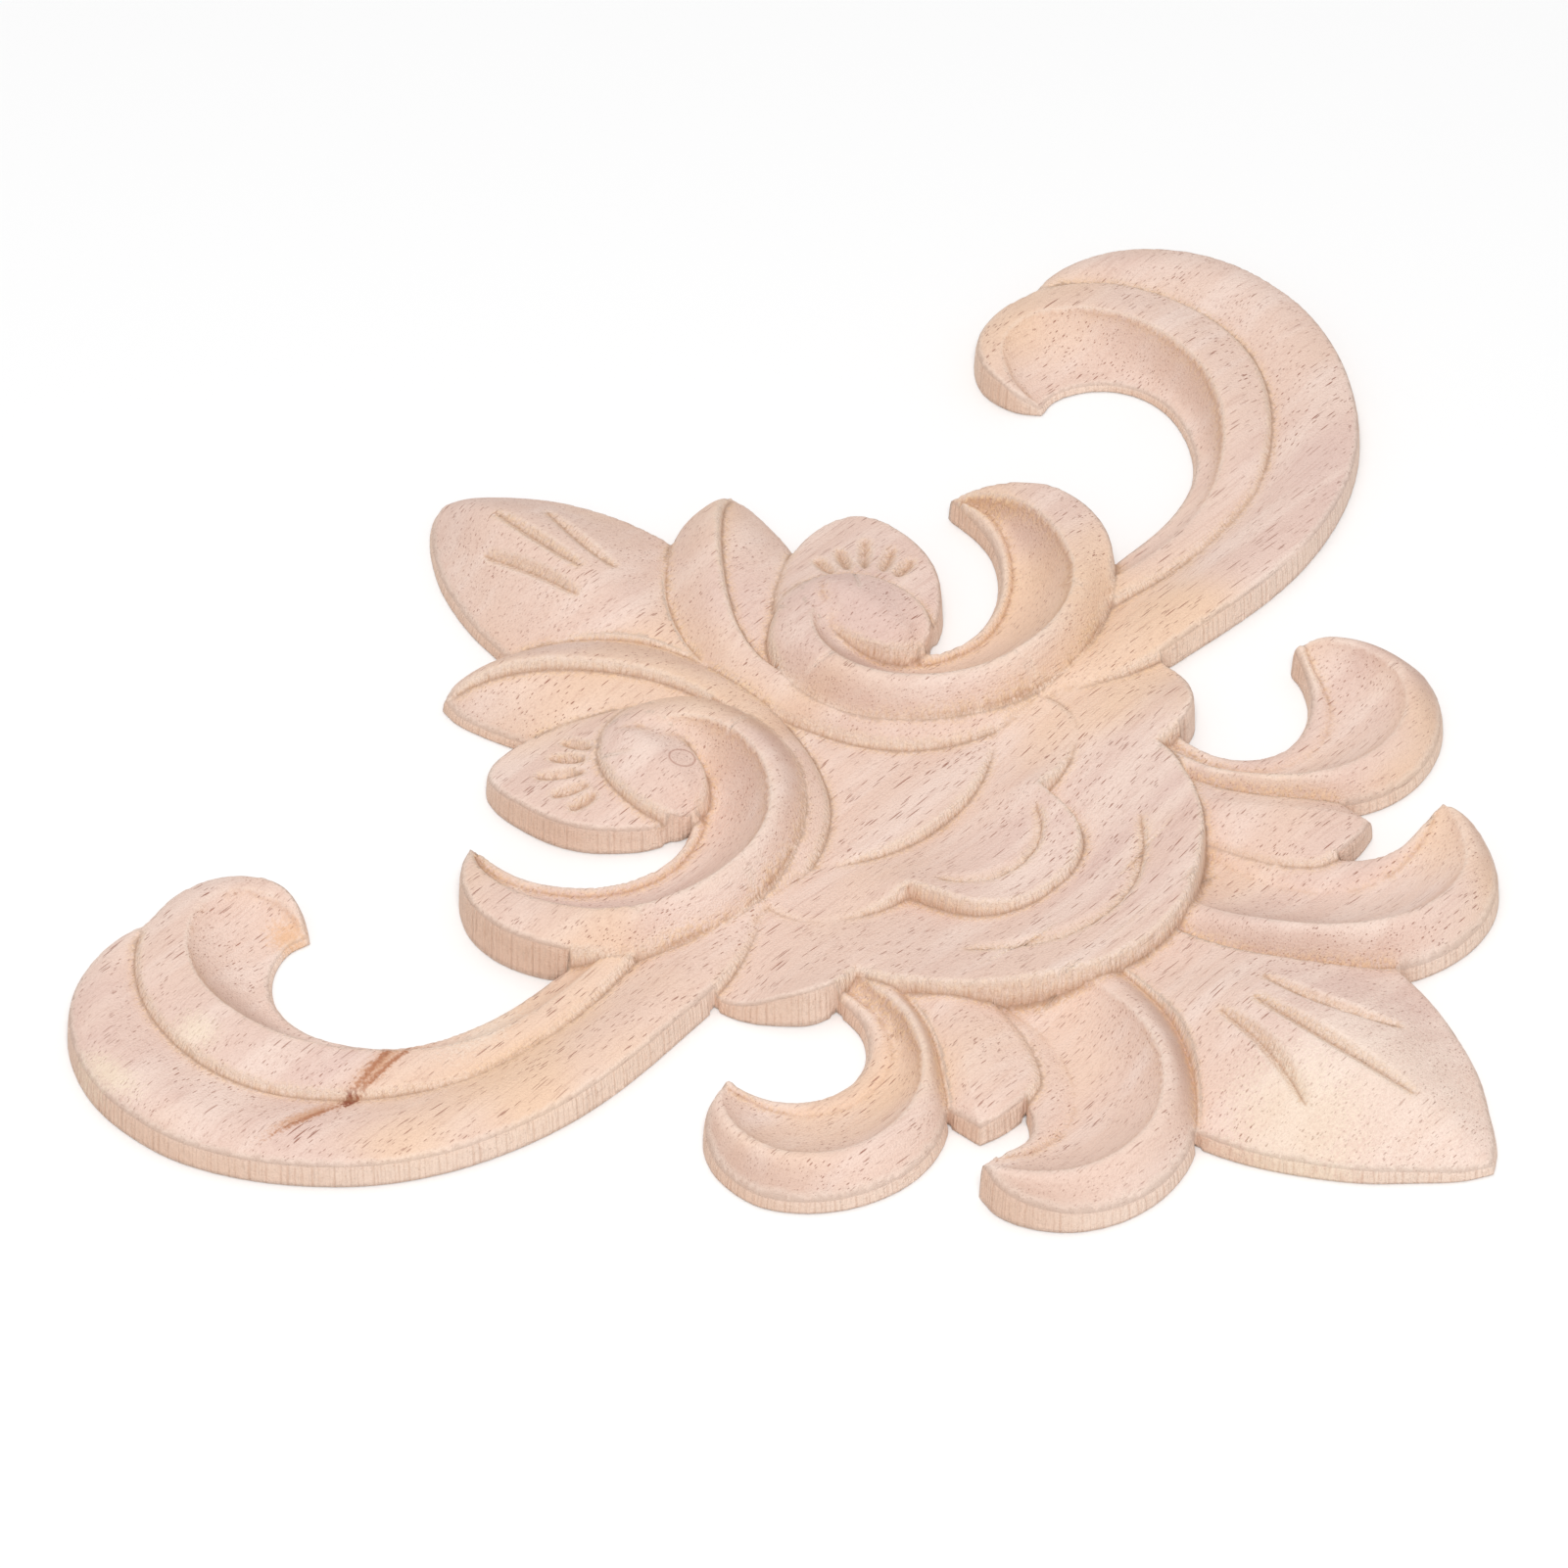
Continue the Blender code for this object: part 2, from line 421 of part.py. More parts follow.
def great_scroll():
    outer = smooth([(31.5, 52.6, 8.2), (29, 55.4, 8.2), (25.5, 57.3, 8.1), (21, 57.8, 8),
                    (16.4, 56.6, 8), (12.2, 54.2, 7.9), (8.9, 51, 7.6), (6.8, 46.5, 7.1),
                    (5.9, 41, 6.7), (6.3, 35.4, 6.5), (8, 30.2, 6.4), (11, 25.4, 6.4),
                    (15.6, 20.6, 6.4), (21.4, 16.7, 6), (28, 13.9, 5.2), (36, 12.4, 4.8),
                    (44, 12.3, 4.6), (50.4, 13.7, 4.7), (56.4, 16.1, 5), (61, 18.7, 5.7),
                    (65, 21.6, 6.8), (68.8, 25.2, 7.8), (71.7, 30.2, 8.4), (73.3, 37, 8.5),
                    (72.5, 43.6, 8.4), (69.5, 49, 7.6), (65.3, 53, 6.4), (60.6, 55.8, 4.9)])
    ridge = smooth([(29, 50.4, 8.8), (25.5, 53, 9.4), (21.2, 52.4, 9.9), (17.4, 49.4, 10.2),
                    (14.5, 45.6, 10.4), (13.2, 41.4, 10.5), (13.1, 37, 10.5), (14.8, 31.2, 10.5),
                    (18.2, 26, 10.6), (23.7, 21, 10.8), (31, 17.9, 10.9), (39.5, 17.1, 10.9),
                    (47.2, 18.4, 10.5), (54, 21.4, 10), (59.3, 26, 9.6), (63, 31.8, 9.3),
                    (65.4, 38.6, 8.9), (65.8, 44.6, 8.3), (64.4, 50, 7.2), (60.6, 55.8, 4.9)])
    quirk = smooth([(27, 48.6, 9), (21.6, 49, 9.4), (20, 45.4, 7.8), (20.6, 41, 5.4),
                    (22.4, 37.2, 3.6), (25.2, 34, 2.4), (28.8, 31.6, 1.7), (33, 30, 1.4),
                    (38.6, 29.1, 1.2), (44, 29.9, 1.2), (49, 31.9, 1.4), (54.2, 35.4, 2),
                    (58.2, 39.6, 2.8), (61, 44.2, 3.5), (62.3, 49.2, 4.2), (60.6, 55.8, 4.9)])
    inner = smooth([(27, 46, 7.6), (25, 41, 5), (26.4, 37, 3.4), (28.6, 34.4, 2.6),
                    (31.8, 32.3, 2.2), (36, 31.2, 2), (41, 31.2, 2), (46, 32.6, 2), (51, 35.4, 2.2),
                    (55.2, 39.3, 2.6), (58.2, 43.8, 3), (59.8, 48.8, 3.6), (60.6, 55.8, 4.9)])
    return Form([outer, ridge, quirk, inner], [swelling, hollow_down, flat],
                [0.3, 0, 0.9])


def eye():
    left = smooth([(28.5, 33.6, 5), (25, 34.6, 6.6), (22.2, 37, 7.6), (20.4, 40.6, 8.2),
                   (19.5, 45, 8.4), (19.2, 49.6, 8), (20.4, 53.4, 7.6), (23.4, 56, 7.4),
                   (27, 56.3, 7.6)])
    crown = smooth([(28.5, 33.6, 5), (27.5, 36.6, 8.4), (26.8, 41, 10), (26.4, 45.6, 10.6),
                    (26, 50, 10.6), (26.2, 53.6, 9.9), (27, 56.3, 7.6)])
    right = smooth([(28.5, 33.6, 5), (32, 34.6, 6.6), (34.2, 37.8, 7.8), (34.9, 41.8, 8.3),
                    (34.5, 46.2, 8.5), (33.2, 50.4, 8.5), (30.6, 54, 8.2), (27, 56.3, 7.6)])
    return Form([left, crown, right], [swelling, swelling_down], emerges=True)


def carved_forms():
    """All forms of one half, from the bottom of the stack up."""
    return [drop_leaf(), inner_scroll(), dart(), outer_scroll(), lower_shield(), upper_shield(),
            dish(), crest_leaf(), side_leaf_under(), side_leaf_over(), outer_band(),
            inner_band(), shell_petal(), great_scroll(), eye()]


def relief(forms, xy):
    """Carved height at each plan point. NaN is open air."""
    z = np.full(len(xy), np.nan)
    for form in forms:
        z = form.lay_over(xy, z)
    return z * RELIEF


# The mesh of one half

def wall_feet(form):
    """The line at the foot of a form's wall."""
    ring = form.ring[:, :2]
    leg = np.roll(ring, -1, 0) - ring
    area = (ring[:, 0] * np.roll(ring[:, 1], -1) - np.roll(ring[:, 0], -1) * ring[:, 1]).sum()
    out = np.stack([leg[:, 1], -leg[:, 0]], 1) / np.hypot(*leg.T)[:, None] * np.sign(area)
    both = out + np.roll(out, 1, 0)
    both /= np.maximum(np.hypot(*both.T), 0.6)[:, None]
    foot = ring + both * WALL_RUN
    distance, _, _ = nearest(form.border, foot)
    foot = foot[distance > WALL_RUN * 0.9]
    return np.vstack([foot, foot[:1]])


def guide_lines(forms):
    """Lines that the mesh follows: borders, ridges, wall feet, gouges and the middle."""
    lines = [np.array([(0.0, MIDDLE_Y[0]), (0.0, MIDDLE_Y[1])])]
    for form in forms:
        lines.append(form.border[:, :2])
        lines += [rail[:, :2] for rail in form.rails[1:-1]]
        lines.append(wall_feet(form))
        lines += [groove.rail[:, :2] for groove in form.grooves]
    return lines


def field_points(lines):
    """A triangular grid of points, clear of the lines."""
    row_step = MESH_STEP * math.sqrt(0.75)
    x, y = np.meshgrid(np.arange(*FIELD_X, MESH_STEP), np.arange(*FIELD_Y, row_step))
    x = x + (np.arange(len(y)) % 2)[:, None] * MESH_STEP / 2
    grid = np.stack([x.ravel(), y.ravel()], 1)
    for line in lines:
        rail = np.column_stack([line, np.zeros(len(line))])
        distance, _, _ = nearest(rail, grid)
        grid = grid[distance > EDGE_GAP]
    return grid


def half_plan(forms):
    """Triangles of the right-hand half, seen from above, with every corner's height."""
    lines = guide_lines(forms)
    points, edges = [], []
    for line in lines:
        base = sum(len(p) for p in points)
        points.append(line)
        edges += [(base + i, base + i + 1) for i in range(len(line) - 1)]
    points.append(field_points(lines))
    flat_points = [Vector(p) for p in np.vstack(points)]
    corners, _, faces, *_ = delaunay_2d_cdt(flat_points, edges, [], 0, MERGE_GAP)
    xy = np.array([tuple(c) for c in corners])
    xy[np.abs(xy[:, 0]) < ON_MIDDLE, 0] = 0
    faces = np.array(faces)
    middle = xy[faces].mean(1)
    solid = np.zeros(len(faces), bool)
    for form in forms:
        solid |= inside(form.ring, middle)
    faces = faces[solid & (middle[:, 0] > 0)]
    used = np.unique(faces)
    number = np.full(len(xy), -1)
    number[used] = np.arange(len(used))
    xy = xy[used]
    z = relief(forms, xy)
    gap = np.isnan(z)
    if gap.any():
        centre = xy[~gap]
        for i in np.flatnonzero(gap):
            z[i] = z[~gap][np.hypot(*(centre - xy[i]).T).argmin()]
    return xy, z, number[faces]


def half_mesh(forms):
    """The right-hand half as a mesh that is open along the middle."""
    xy, z, faces = half_plan(forms)
    stretch = np.array([WIDTH / DRAWN_WIDTH, LENGTH / DRAWN_LENGTH])
    plan = (xy - (0, DRAWN_MIDDLE_Y)) * stretch
    bm = bmesh.new()
    tops = [bm.verts.new((x * MM, y * MM, h * MM)) for (x, y), h in zip(plan, z)]
    for face in faces:
        bm.faces.new([tops[i] for i in face])
    bm.normal_update()
    for face in bm.faces:
        if face.normal.z < 0:
            face.normal_flip()
    rim = [e for e in bm.edges if e.is_boundary and not on_middle(e)]
    grown = bmesh.ops.extrude_edge_only(bm, edges=rim)["geom"]
    foot = back_outline([v for v in grown if isinstance(v, bmesh.types.BMVert)])
    lean_out(foot)
    close_back(bm, foot)
    bmesh.ops.recalc_face_normals(bm, faces=bm.faces)
    mesh = bpy.data.meshes.new("applique half")
    bm.to_mesh(mesh)
    bm.free()
    return mesh


def on_middle(edge):
    return all(abs(v.co.x) < 1e-7 for v in edge.verts)


def back_outline(feet):
    """The corners of the outer wall's foot in order, from one end on the middle to the other."""
    beside = {v: [e.other_vert(v) for e in v.link_edges if e.is_boundary] for v in feet}
    for foot, others in beside.items():
        beside[foot] = [v for v in others if v in beside]
    order = [min((v for v in feet if len(beside[v]) == 1), key=lambda v: v.co.y)]
    before = None
    while len(order) < len(feet):
        following = next(v for v in beside[order[-1]] if v is not before)
        before = order[-1]
        order.append(following)
    return order


def lean_out(foot):
    """Drops the foot of the outer wall to the back and leans the wall out a little.

    In the notches between two forms the wall stays upright.
    """
    ring = np.array([v.co.xy for v in foot])
    leg = np.roll(ring, -1, 0) - ring
    leg /= np.hypot(*leg.T)[:, None]
    side = np.stack([leg[:, 1], -leg[:, 0]], 1)
    notch = (np.roll(leg, 1, 0) * side).sum(1) < -NOTCH
    beside = notch | np.roll(notch, 1) | np.roll(notch, -1)
    out = side + np.roll(side, 1, 0)
    out[[0, -1], 0] = 0
    out /= np.hypot(*out.T)[:, None]
    out[beside] = 0
    for vertex, (x, y) in zip(foot, ring + out * OUTER_DRAFT * MM):
        vertex.co = (x, y, BACK_Z)


def close_back(bm, foot):
    """Closes the flat back with long triangles between the corners of the foot."""
    ring = [v.co.xy / MM for v in foot]
    edges = [(i, (i + 1) % len(ring)) for i in range(len(ring))]
    _, _, faces, origin, *_ = delaunay_2d_cdt(ring, edges, [], 1, 1e-5)
    for face in faces:
        bm.faces.new([foot[origin[i][0]] for i in face])


def carve(name):
    """The whole applique: the half, mirrored, with the drop leaf's lean."""
    half = bpy.data.objects.new("half", half_mesh(carved_forms()))
    bpy.context.scene.collection.objects.link(half)
    mirror = half.modifiers.new("Mirror", "MIRROR")
    mirror.merge_threshold = 0.00005
    bpy.context.view_layer.update()
    graph = bpy.context.evaluated_depsgraph_get()
    whole = bpy.data.meshes.new_from_object(half.evaluated_get(graph))
    bpy.data.objects.remove(half)
    for vertex in whole.vertices:
        depth = (LEAN_START * MM - vertex.co.y) / ((LENGTH / 2 + LEAN_START) * MM)
        if depth > 0:
            vertex.co.x += DROP_LEAN * MM * depth ** 1.5
    whole.name = name
    return bpy.data.objects.new(name, whole)


def wood():
    """Raw pale rubberwood."""
    material = bpy.data.materials.new("raw rubberwood")
    material.use_nodes = True
    shader = material.node_tree.nodes["Principled BSDF"]
    shader.inputs["Base Color"].default_value = PALE_WOOD
    shader.inputs["Roughness"].default_value = 0.7
    shader.inputs["Metallic"].default_value = 0.0
    return material


def main():
    for stray in list(bpy.data.objects):
        bpy.data.objects.remove(stray)
    collection = bpy.data.collections.new("wood applique")
    bpy.context.scene.collection.children.link(collection)
    applique = carve("carved_applique")
    applique.data.materials.append(wood())
    applique.data.shade_smooth()
    applique.data.set_sharp_from_angle(angle=math.radians(35))
    collection.objects.link(applique)


main()
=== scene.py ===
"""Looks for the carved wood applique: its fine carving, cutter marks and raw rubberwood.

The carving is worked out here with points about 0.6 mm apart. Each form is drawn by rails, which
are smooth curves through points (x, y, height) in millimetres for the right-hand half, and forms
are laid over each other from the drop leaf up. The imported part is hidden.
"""
import logging
import math
from dataclasses import dataclass, field
from enum import Enum

import bpy
import numpy as np
from mathutils import Matrix, Vector, kdtree
from mathutils.geometry import delaunay_2d_cdt, tessellate_polygon

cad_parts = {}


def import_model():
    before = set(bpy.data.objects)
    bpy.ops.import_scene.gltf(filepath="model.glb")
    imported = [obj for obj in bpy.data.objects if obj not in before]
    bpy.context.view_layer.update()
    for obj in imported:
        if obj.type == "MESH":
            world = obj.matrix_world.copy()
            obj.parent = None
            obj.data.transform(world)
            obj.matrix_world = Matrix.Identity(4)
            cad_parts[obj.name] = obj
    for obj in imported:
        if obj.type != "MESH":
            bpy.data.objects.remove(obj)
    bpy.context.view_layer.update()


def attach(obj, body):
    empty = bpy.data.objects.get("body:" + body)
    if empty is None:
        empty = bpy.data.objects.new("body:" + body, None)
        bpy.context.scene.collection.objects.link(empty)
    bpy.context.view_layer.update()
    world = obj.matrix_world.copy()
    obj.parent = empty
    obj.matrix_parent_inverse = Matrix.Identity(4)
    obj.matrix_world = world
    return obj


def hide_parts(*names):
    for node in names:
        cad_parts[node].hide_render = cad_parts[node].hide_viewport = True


log = logging.getLogger("applique")
MM = 0.001
Knot = tuple[float, float, float]
Array = np.ndarray

# Plan points worked on at a time, which bounds the memory
CHUNK = 4000
# Points worked out between two knots of a curve, before they are spaced evenly
CURVE_STEPS = 25

# Plan distances, in millimetres
REPEATED = 1e-3
ON_MIDDLE = 0.01
ON_BORDER = 0.02
AT_EDGE = 0.05
MERGE_GAP = 0.05
SNAP_TO_MIDDLE = 0.06

# How much of the cut wall's look shows along a top edge and in a gouge
EDGE_WALL = 0.7
GOUGE_WALL = 0.8
# The most of a step's depth that its sanded border may take up
SANDED_SHARE = 0.3


class Profile(Enum):
    """How a surface runs from one rail to the next."""

    FLAT = "flat"
    SWELLING = "swelling"
    SWELLING_DOWN = "swelling down"
    HOLLOW_DOWN = "hollow down"

    def rise(self, v: Array) -> Array:
        """Shares of the way in height.

        Args:
            v: shares of the way across, from 0 at the first rail to 1 at the second.

        Returns:
            The share of the height difference reached at each v.
        """
        if self is Profile.SWELLING:
            return np.sin(v * math.pi / 2)
        if self is Profile.SWELLING_DOWN:
            return 1 - np.cos(v * math.pi / 2)
        if self is Profile.HOLLOW_DOWN:
            return np.sin(v * math.pi / 2) ** 0.75
        return v


class Line:
    """A polyline in plan with a height at each point, made for quick distance questions."""

    def __init__(self, points: Array) -> None:
        """Measures the legs of the line.

        Args:
            points: rows of (x, y, height).
        """
        self.points = points
        self.start = points[:-1]
        self.leg = np.diff(points[:, :2], axis=0)
        self.rise = np.diff(points[:, 2])
        size = np.hypot(*self.leg.T)
        self.size = np.maximum(size, 1e-9)
        self.run = np.concatenate([[0.0], size.cumsum()])

    def without(self, dropped: Array) -> "Line":
        """The same line with some of its legs left out.

        Args:
            dropped: True for each leg that is left out.

        Returns:
            The new line.
        """
        rest = Line(self.points)
        rest.start, rest.leg = self.start[~dropped], self.leg[~dropped]
        rest.rise, rest.size = self.rise[~dropped], self.size[~dropped]
        rest.run = self.run[:-1][~dropped]
        return rest

    def nearest(self, xy: Array) -> tuple[Array, Array, Array]:
        """Finds the closest place on the line.

        Args:
            xy: plan points.

        Returns:
            Distance, height of the line there, and length along the line in millimetres.
        """
        found = [self._nearest(part) for part in np.array_split(xy, len(xy) // CHUNK + 1)]
        return tuple(np.concatenate(column) for column in zip(*found))

    def _nearest(self, xy: Array) -> tuple[Array, Array, Array]:
        """Finds the closest place for one chunk of points.

        Args:
            xy: plan points.

        Returns:
            Distance, height of the line there, and length along the line in millimetres.
        """
        reach_x = xy[:, :1] - self.start[:, 0]
        reach_y = xy[:, 1:] - self.start[:, 1]
        along = (reach_x * self.leg[:, 0] + reach_y * self.leg[:, 1]) / self.size ** 2
        along = np.clip(along, 0, 1)
        miss = (reach_x - along * self.leg[:, 0]) ** 2 + (reach_y - along * self.leg[:, 1]) ** 2
        k = miss.argmin(1)
        row = np.arange(len(xy))
        t = along[row, k]
        height = self.start[k, 2] + t * self.rise[k]
        return np.sqrt(miss[row, k]), height, self.run[k] + t * self.size[k]

    def pull(self, xy: Array) -> tuple[Array, Array]:
        """Distance and height, evened out where the line bends.

        Every part of the line counts, by the inverse cube of its distance.

        Args:
            xy: plan points.

        Returns:
            The evened distance, and the height of the line there.
        """
        found = [self._pull(part) for part in np.array_split(xy, len(xy) // CHUNK + 1)]
        return tuple(np.concatenate(column) for column in zip(*found))

    def _pull(self, xy: Array) -> tuple[Array, Array]:
        """Evened distance and height for one chunk of points.

        Args:
            xy: plan points.

        Returns:
            The evened distance, and the height of the line there.
        """
        way = self.leg / self.size[:, None]
        reach_x = xy[:, :1] - self.start[:, 0]
        reach_y = xy[:, 1:] - self.start[:, 1]
        behind = reach_x * way[:, 0] + reach_y * way[:, 1]
        ahead = self.size - behind
        off = np.maximum(reach_x ** 2 + reach_y ** 2 - behind ** 2, 1e-6)
        weight = (ahead / np.sqrt(off + ahead ** 2) + behind / np.sqrt(off + behind ** 2)) / off
        height = self.start[:, 2] + np.clip(behind / self.size, 0, 1) * self.rise
        total = weight.sum(1)
        return 1 / np.sqrt(total), (weight * height).sum(1) / total


def smooth(knots: list[Knot], level: bool = False, corners: tuple[int, ...] = (),
           step: float = 0.7) -> Array:
    """Draws a smooth curve through knots.

    Args:
        knots: the points it passes through.
        level: whether it starts square to the middle line, so that its mirror carries it on.
        corners: numbers of the knots where it turns sharply.
        step: spacing of the points, in millimetres.

    Returns:
        Points along the curve.
    """
    points = np.array(knots, float)
    cuts = [0, *corners, len(points) - 1]
    runs = []
    for first, last in zip(cuts, cuts[1:]):
        run = points[first:last + 1]
        head = 2 * run[0] - run[1]
        if level and first == 0:
            head = run[1] * (-1, 1, 1)
        tail = 2 * run[-1] - run[-2]
        runs.append(catmull_rom(np.vstack([head, run, tail]), step))
    return np.vstack([run[:-1] for run in runs] + [points[-1:]])


def catmull_rom(knots: Array, step: float) -> Array:
    """Centripetal curve through the inner knots.

    Args:
        knots: the points, with one more before the first and after the last.
        step: spacing of the points, in millimetres.

    Returns:
        Points along the curve, at even spacing.
    """
    pieces = []
    for p0, p1, p2, p3 in zip(knots, knots[1:], knots[2:], knots[3:]):
        t1 = math.dist(p0[:2], p1[:2]) ** 0.5
        t2 = t1 + math.dist(p1[:2], p2[:2]) ** 0.5
        t3 = t2 + math.dist(p2[:2], p3[:2]) ** 0.5
        t = np.linspace(t1, t2, CURVE_STEPS)[:-1, None]
        a1 = (t1 - t) / t1 * p0 + t / t1 * p1
        a2 = (t2 - t) / (t2 - t1) * p1 + (t - t1) / (t2 - t1) * p2
        a3 = (t3 - t) / (t3 - t2) * p2 + (t - t2) / (t3 - t2) * p3
        b1 = (t2 - t) / t2 * a1 + t / t2 * a2
        b2 = (t3 - t) / (t3 - t1) * a2 + (t - t1) / (t3 - t1) * a3
        pieces.append((t2 - t) / (t2 - t1) * b1 + (t - t1) / (t2 - t1) * b2)
    dense = np.vstack(pieces + [knots[-2:-1]])
    run = np.concatenate([[0], np.hypot(*np.diff(dense[:, :2], axis=0).T).cumsum()])
    even = np.linspace(0, run[-1], max(2, round(run[-1] / step) + 1))
    return np.stack([np.interp(even, run, column) for column in dense.T], 1)


def across_middle(rail: Array) -> Array:
    """Carries a rail that starts on the middle line on to the other side.

    Args:
        rail: the rail's points.

    Returns:
        The rail after its mirror image, or the rail alone if it starts elsewhere.
    """
    if abs(rail[0, 0]) > 1e-9 or abs(rail[1, 0]) < 1e-9:
        return rail
    return np.vstack([rail[:0:-1] * (-1, 1, 1), rail])


def inside(ring: Array, xy: Array) -> Array:
    """Tells which plan points lie inside a closed ring.

    Args:
        ring: corners of the ring, without repeating the first.
        xy: plan points.

    Returns:
        True for each point inside.
    """
    result = np.zeros(len(xy), bool)
    low, high = ring[:, :2].min(0), ring[:, :2].max(0)
    close = np.flatnonzero(((xy >= low) & (xy <= high)).all(1))
    x, y = ring[:, 0], ring[:, 1]
    x2, y2 = np.roll(x, -1), np.roll(y, -1)
    rise = np.where(y2 == y, 1e-12, y2 - y)
    for part in np.array_split(close, len(close) // CHUNK + 1):
        px, py = xy[part, :1], xy[part, 1:]
        crossing = x + (py - y) / rise * (x2 - x)
        result[part] = (((y > py) != (y2 > py)) & (px < crossing)).sum(1) % 2 == 1
    return result


def closed_ring(rail: Array, other: Array) -> Array:
    """The ring along one rail and back along another.

    Args:
        rail: the first rail's points.
        other: the second rail's points, in the same direction.

    Returns:
        The ring's corners, without repeated points.
    """
    ring = np.vstack([rail, other[::-1]])
    step = np.hypot(*(ring - np.roll(ring, 1, 0))[:, :2].T)
    return ring[step > REPEATED]


@dataclass(frozen=True)
class Gouge:
    """The section of a gouge cut.

    Attributes:
        left: its width on the left of the bottom, in millimetres.
        right: its width on the right, in millimetres.
        depth: its depth in the middle of its length, in millimetres.
    """

    left: float
    right: float
    depth: float


@dataclass(frozen=True)
class Groove:
    """A tapering gouge cut along a curve.

    Attributes:
        knots: plan points of its bottom.
        gouge: its section.
    """

    knots: tuple[tuple[float, float], ...]
    gouge: Gouge

    def line(self) -> Line:
        """The gouge's bottom as a line."""
        return Line(smooth([(x, y, 0.0) for x, y in self.knots]))

    def cut(self, xy: Array) -> Array:
        """How deep the gouge is at each plan point.

        Args:
            xy: plan points.

        Returns:
            Depths in millimetres, 0 outside the gouge.
        """
        line = self.line()
        distance, _, along = line.nearest(xy)
        tip, least_width, steepness = 0.002, 0.35, 0.85
        share = np.clip(along / line.run[-1], tip, 1 - tip)
        k = np.clip(np.searchsorted(line.run, along) - 1, 0, len(line.leg) - 1)
        reach = xy - line.start[k, :2]
        on_left = line.leg[k, 0] * reach[:, 1] > line.leg[k, 1] * reach[:, 0]
        width = np.where(on_left, self.gouge.left, self.gouge.right)
        ending = np.sin(share * math.pi) ** 0.5
        width = width * (least_width + (1 - least_width) * ending)
        across = np.clip(1 - distance / width, 0, 1)
        return self.gouge.depth * across ** steepness * ending


@dataclass
class Form:
    """One carved form.

    Attributes:
        rails: smooth curves from one border to the other.
        profiles: how the surface runs, one for each strip between rails.
        bulges: extra height in the middle of each strip, in millimetres.
        grooves: gouges cut into it.
        emerges: whether it shows only where it is higher than the form below.
        soften: radius of its sanded border over another form, in millimetres.
        round_over: radius of its border on the outline.
    """

    rails: list[Array]
    profiles: list[Profile]
    bulges: list[float] = field(default_factory=list)
    grooves: list[Groove] = field(default_factory=list)
    emerges: bool = False
    soften: float = 0.35
    round_over: float = 0.65

    def __post_init__(self) -> None:
        """Works out the ring and the lines once."""
        self.bulges = self.bulges or [0.0] * len(self.profiles)
        self.lines = [Line(across_middle(rail)) for rail in self.rails]
        self.ring = closed_ring(self.rails[0], self.rails[-1])
        looped = np.vstack([self.ring, self.ring[:1]])
        self.border = Line(looped)
        near_middle = np.abs(looped[:, 0]) < ON_MIDDLE
        on_middle = near_middle[:-1] & near_middle[1:]
        self.cut_border = self.border.without(on_middle)

    def surface(self, xy: Array) -> Array:
        """Heights of the carved face.

        Args:
            xy: plan points inside the form.

        Returns:
            Heights in millimetres.
        """
        near = [line.pull(xy) for line in self.lines]
        closest = np.argmin([distance for distance, _ in near], 0)
        z = np.choose(closest, [height for _, height in near])
        strips = zip(near, near[1:], self.rails, self.rails[1:], self.profiles, self.bulges)
        for (d1, z1), (d2, z2), rail1, rail2, profile, bulge in strips:
            within = inside(closed_ring(rail1, rail2), xy)
            v = d1 / (d1 + d2 + 1e-6)
            body = z1 + (z2 - z1) * profile.rise(v) + bulge * np.sin(v * math.pi)
            z = np.where(within, body, z)
        return z

    def gouged(self, xy: Array) -> Array:
        """How deep the gouges are.

        Args:
            xy: plan points inside the form.

        Returns:
            Depths in millimetres.
        """
        depth = np.zeros(len(xy))
        for groove in self.grooves:
            depth = np.maximum(depth, groove.cut(xy))
        return depth


